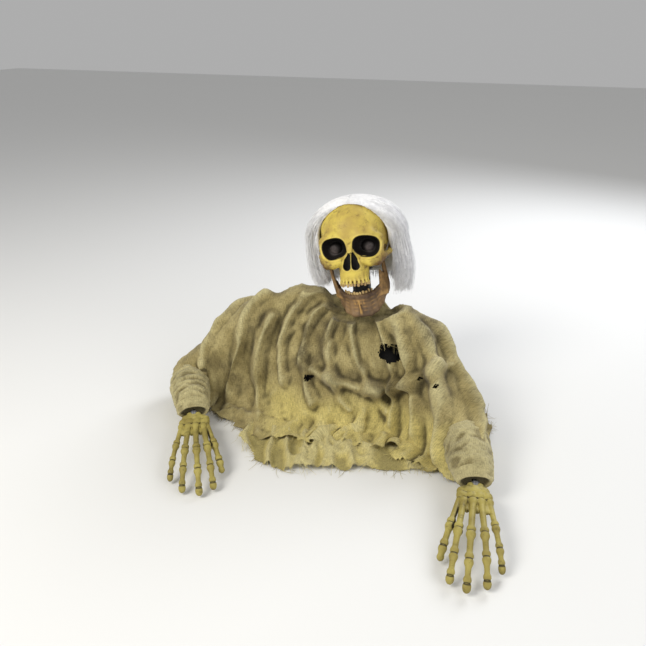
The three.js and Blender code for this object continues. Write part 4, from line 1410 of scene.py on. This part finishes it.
# ------------------------------------------------------------------ materials of cloth, hair and small parts
def gauze_paint():
    """Dyed cotton gauze. Attributes: crease and patch darken it, crease as painted shade in the folds; sheer
    turns it yellow; ridge lightens it as a painted highlight on the folds' crests.
    """
    paint = Paint("gauze")
    weave = paint.where("UV")
    split = paint.node("ShaderNodeSeparateXYZ")
    paint.link(weave, split.inputs[0])
    fine = []
    for across, along in ((0, 1), (1, 0)):
        stretched = paint.node("ShaderNodeCombineXYZ")
        paint.link(paint.math("MULTIPLY", split.outputs[across], 1.0), stretched.inputs[0])
        paint.link(paint.math("MULTIPLY", split.outputs[along], 0.12), stretched.inputs[1])
        fine.append(paint.noise(1150, 3, 0.6, at=stretched.outputs[0]))
    thread = paint.math("ADD", paint.math("MULTIPLY", fine[0], 0.6), paint.math("MULTIPLY", fine[1], 0.4))
    mottle = paint.ramp(paint.noise(26, 5, 0.6), [(0.34, 0), (0.68, 1)])
    colour = paint.mix(mottle, (0.31, 0.25, 0.105), (0.48, 0.4, 0.185))
    colour = paint.mix(paint.math("MULTIPLY", paint.attribute("sheer"), 0.8), colour, (0.72, 0.61, 0.22))
    # Painted highlight on the folds' crests.
    colour = paint.mix(paint.math("MULTIPLY", paint.attribute("ridge"), 0.55), colour, (0.62, 0.56, 0.31))
    worn = paint.ramp(paint.noise(60, 5, 0.7), [(0.35, 0.35), (0.65, 1)])
    patch = paint.math("MULTIPLY", paint.attribute("patch"), worn)
    colour = paint.mix(paint.math("MULTIPLY", patch, 0.78), colour, (0.1, 0.078, 0.04))
    # Painted shade in the folds' valleys.
    colour = paint.mix(paint.math("MULTIPLY", paint.attribute("crease"), 0.85), colour, (0.06, 0.048, 0.022))
    grain = paint.ramp(thread, [(0.36, 0.45), (0.6, 1)])
    paint.set(base=paint.mix(0.8, colour, grain, "MULTIPLY"), rough=0.95)
    paint.bump(thread, 0.0012, 0.7)
    paint.shader.inputs["Specular IOR Level"].default_value = 0.1
    paint.shader.inputs["Sheen Weight"].default_value = 0.15
    return paint.material


def plain_paint(name, base, roughness, metal, scale, depth):
    paint = Paint(name)
    tone = paint.ramp(paint.noise(scale * 0.3, 4), [(0.3, 0.75), (0.7, 1)])
    paint.set(base=paint.mix(1.0, base, tone, "MULTIPLY"), rough=roughness, metal=metal)
    paint.bump(paint.noise(scale, 3), depth, 0.5)
    return paint.material


def hair_paint():
    paint = Paint("hair")
    tone = paint.ramp(paint.noise(140, 4, 0.7), [(0.3, 0), (0.7, 1)])
    paint.set(base=paint.mix(tone, (0.8, 0.8, 0.82), (0.97, 0.97, 0.98)), rough=0.5)
    paint.bump(paint.noise(900, 3), 0.0004, 0.6)
    return paint.material


def keep_parts(materials):
    """The pieces taken over from the CAD model as they are, with their materials."""
    looks = {
        "net": ["wig_cap"],
        "steel": ["neck_screw", "neck_washer", "yoke_wire", "ground_stake"],
        "plastic": ["neck_post", "skull_peg_top", "skull_peg_left", "skull_peg_right"],
        "black_cloth": ["stake_loop"],
    }
    arm = ("upper_arm_wire", "forearm_wire", "wrist_link", "shoulder_rivet", "elbow_rivet", "wrist_rivet")
    for side in SIDES:
        looks["steel"] += [f"jaw_screw_{side}"] + [f"{side}_{part}" for part in arm]
    for look, names in looks.items():
        for name in names:
            part = bpy.data.objects[name]
            part.data.materials.clear()
            part.data.materials.append(materials[look])


# ------------------------------------------------------------------ everything
# Painted bone: its light and dark colours, its wash colour for stains and painted shade, its rim colour for a
# painted highlight on edges, and its roughness.
BONES = {
    "bone": ((0.66, 0.52, 0.1), (0.47, 0.34, 0.085), (0.13, 0.07, 0.03), (0.74, 0.6, 0.17), 0.52),
    "jaw_bone": ((0.24, 0.15, 0.075), (0.1, 0.065, 0.04), (0.05, 0.028, 0.02), (0.62, 0.36, 0.11), 0.52),
    "tooth": ((0.58, 0.42, 0.19), (0.42, 0.28, 0.12), (0.1, 0.05, 0.02), (0.6, 0.45, 0.2), 0.3),
    "hand_bone": ((0.41, 0.345, 0.095), (0.28, 0.225, 0.06), (0.06, 0.045, 0.015), (0.5, 0.43, 0.16), 0.52),
}
# Plain surfaces: colour, roughness, how metallic, and the scale and depth of their grain.
PLAIN = {
    "net": ((0.5, 0.48, 0.44), 0.9, 0, 300, 0.0002),
    "steel": ((0.3, 0.3, 0.31), 0.45, 1, 300, 0.0002),
    "plastic": ((0.02, 0.02, 0.022), 0.45, 0, 300, 0.0002),
    "black_cloth": ((0.016, 0.015, 0.015), 0.95, 0, 700, 0.0006),
}


def main():
    camera()
    studio()
    floor()
    materials = {name: bone_paint(name, *look) for name, look in BONES.items()}
    materials["gauze"] = gauze_paint()
    materials["hair"] = hair_paint()
    for name, look in PLAIN.items():
        materials[name] = plain_paint(name, *look)
    skull(materials)
    path = jaw_path(jaw(materials))
    hands(materials)
    pads(materials)
    shroud(materials, path)
    sleeves(materials)
    rag(materials)
    hair(materials)
    keep_parts(materials)


main()
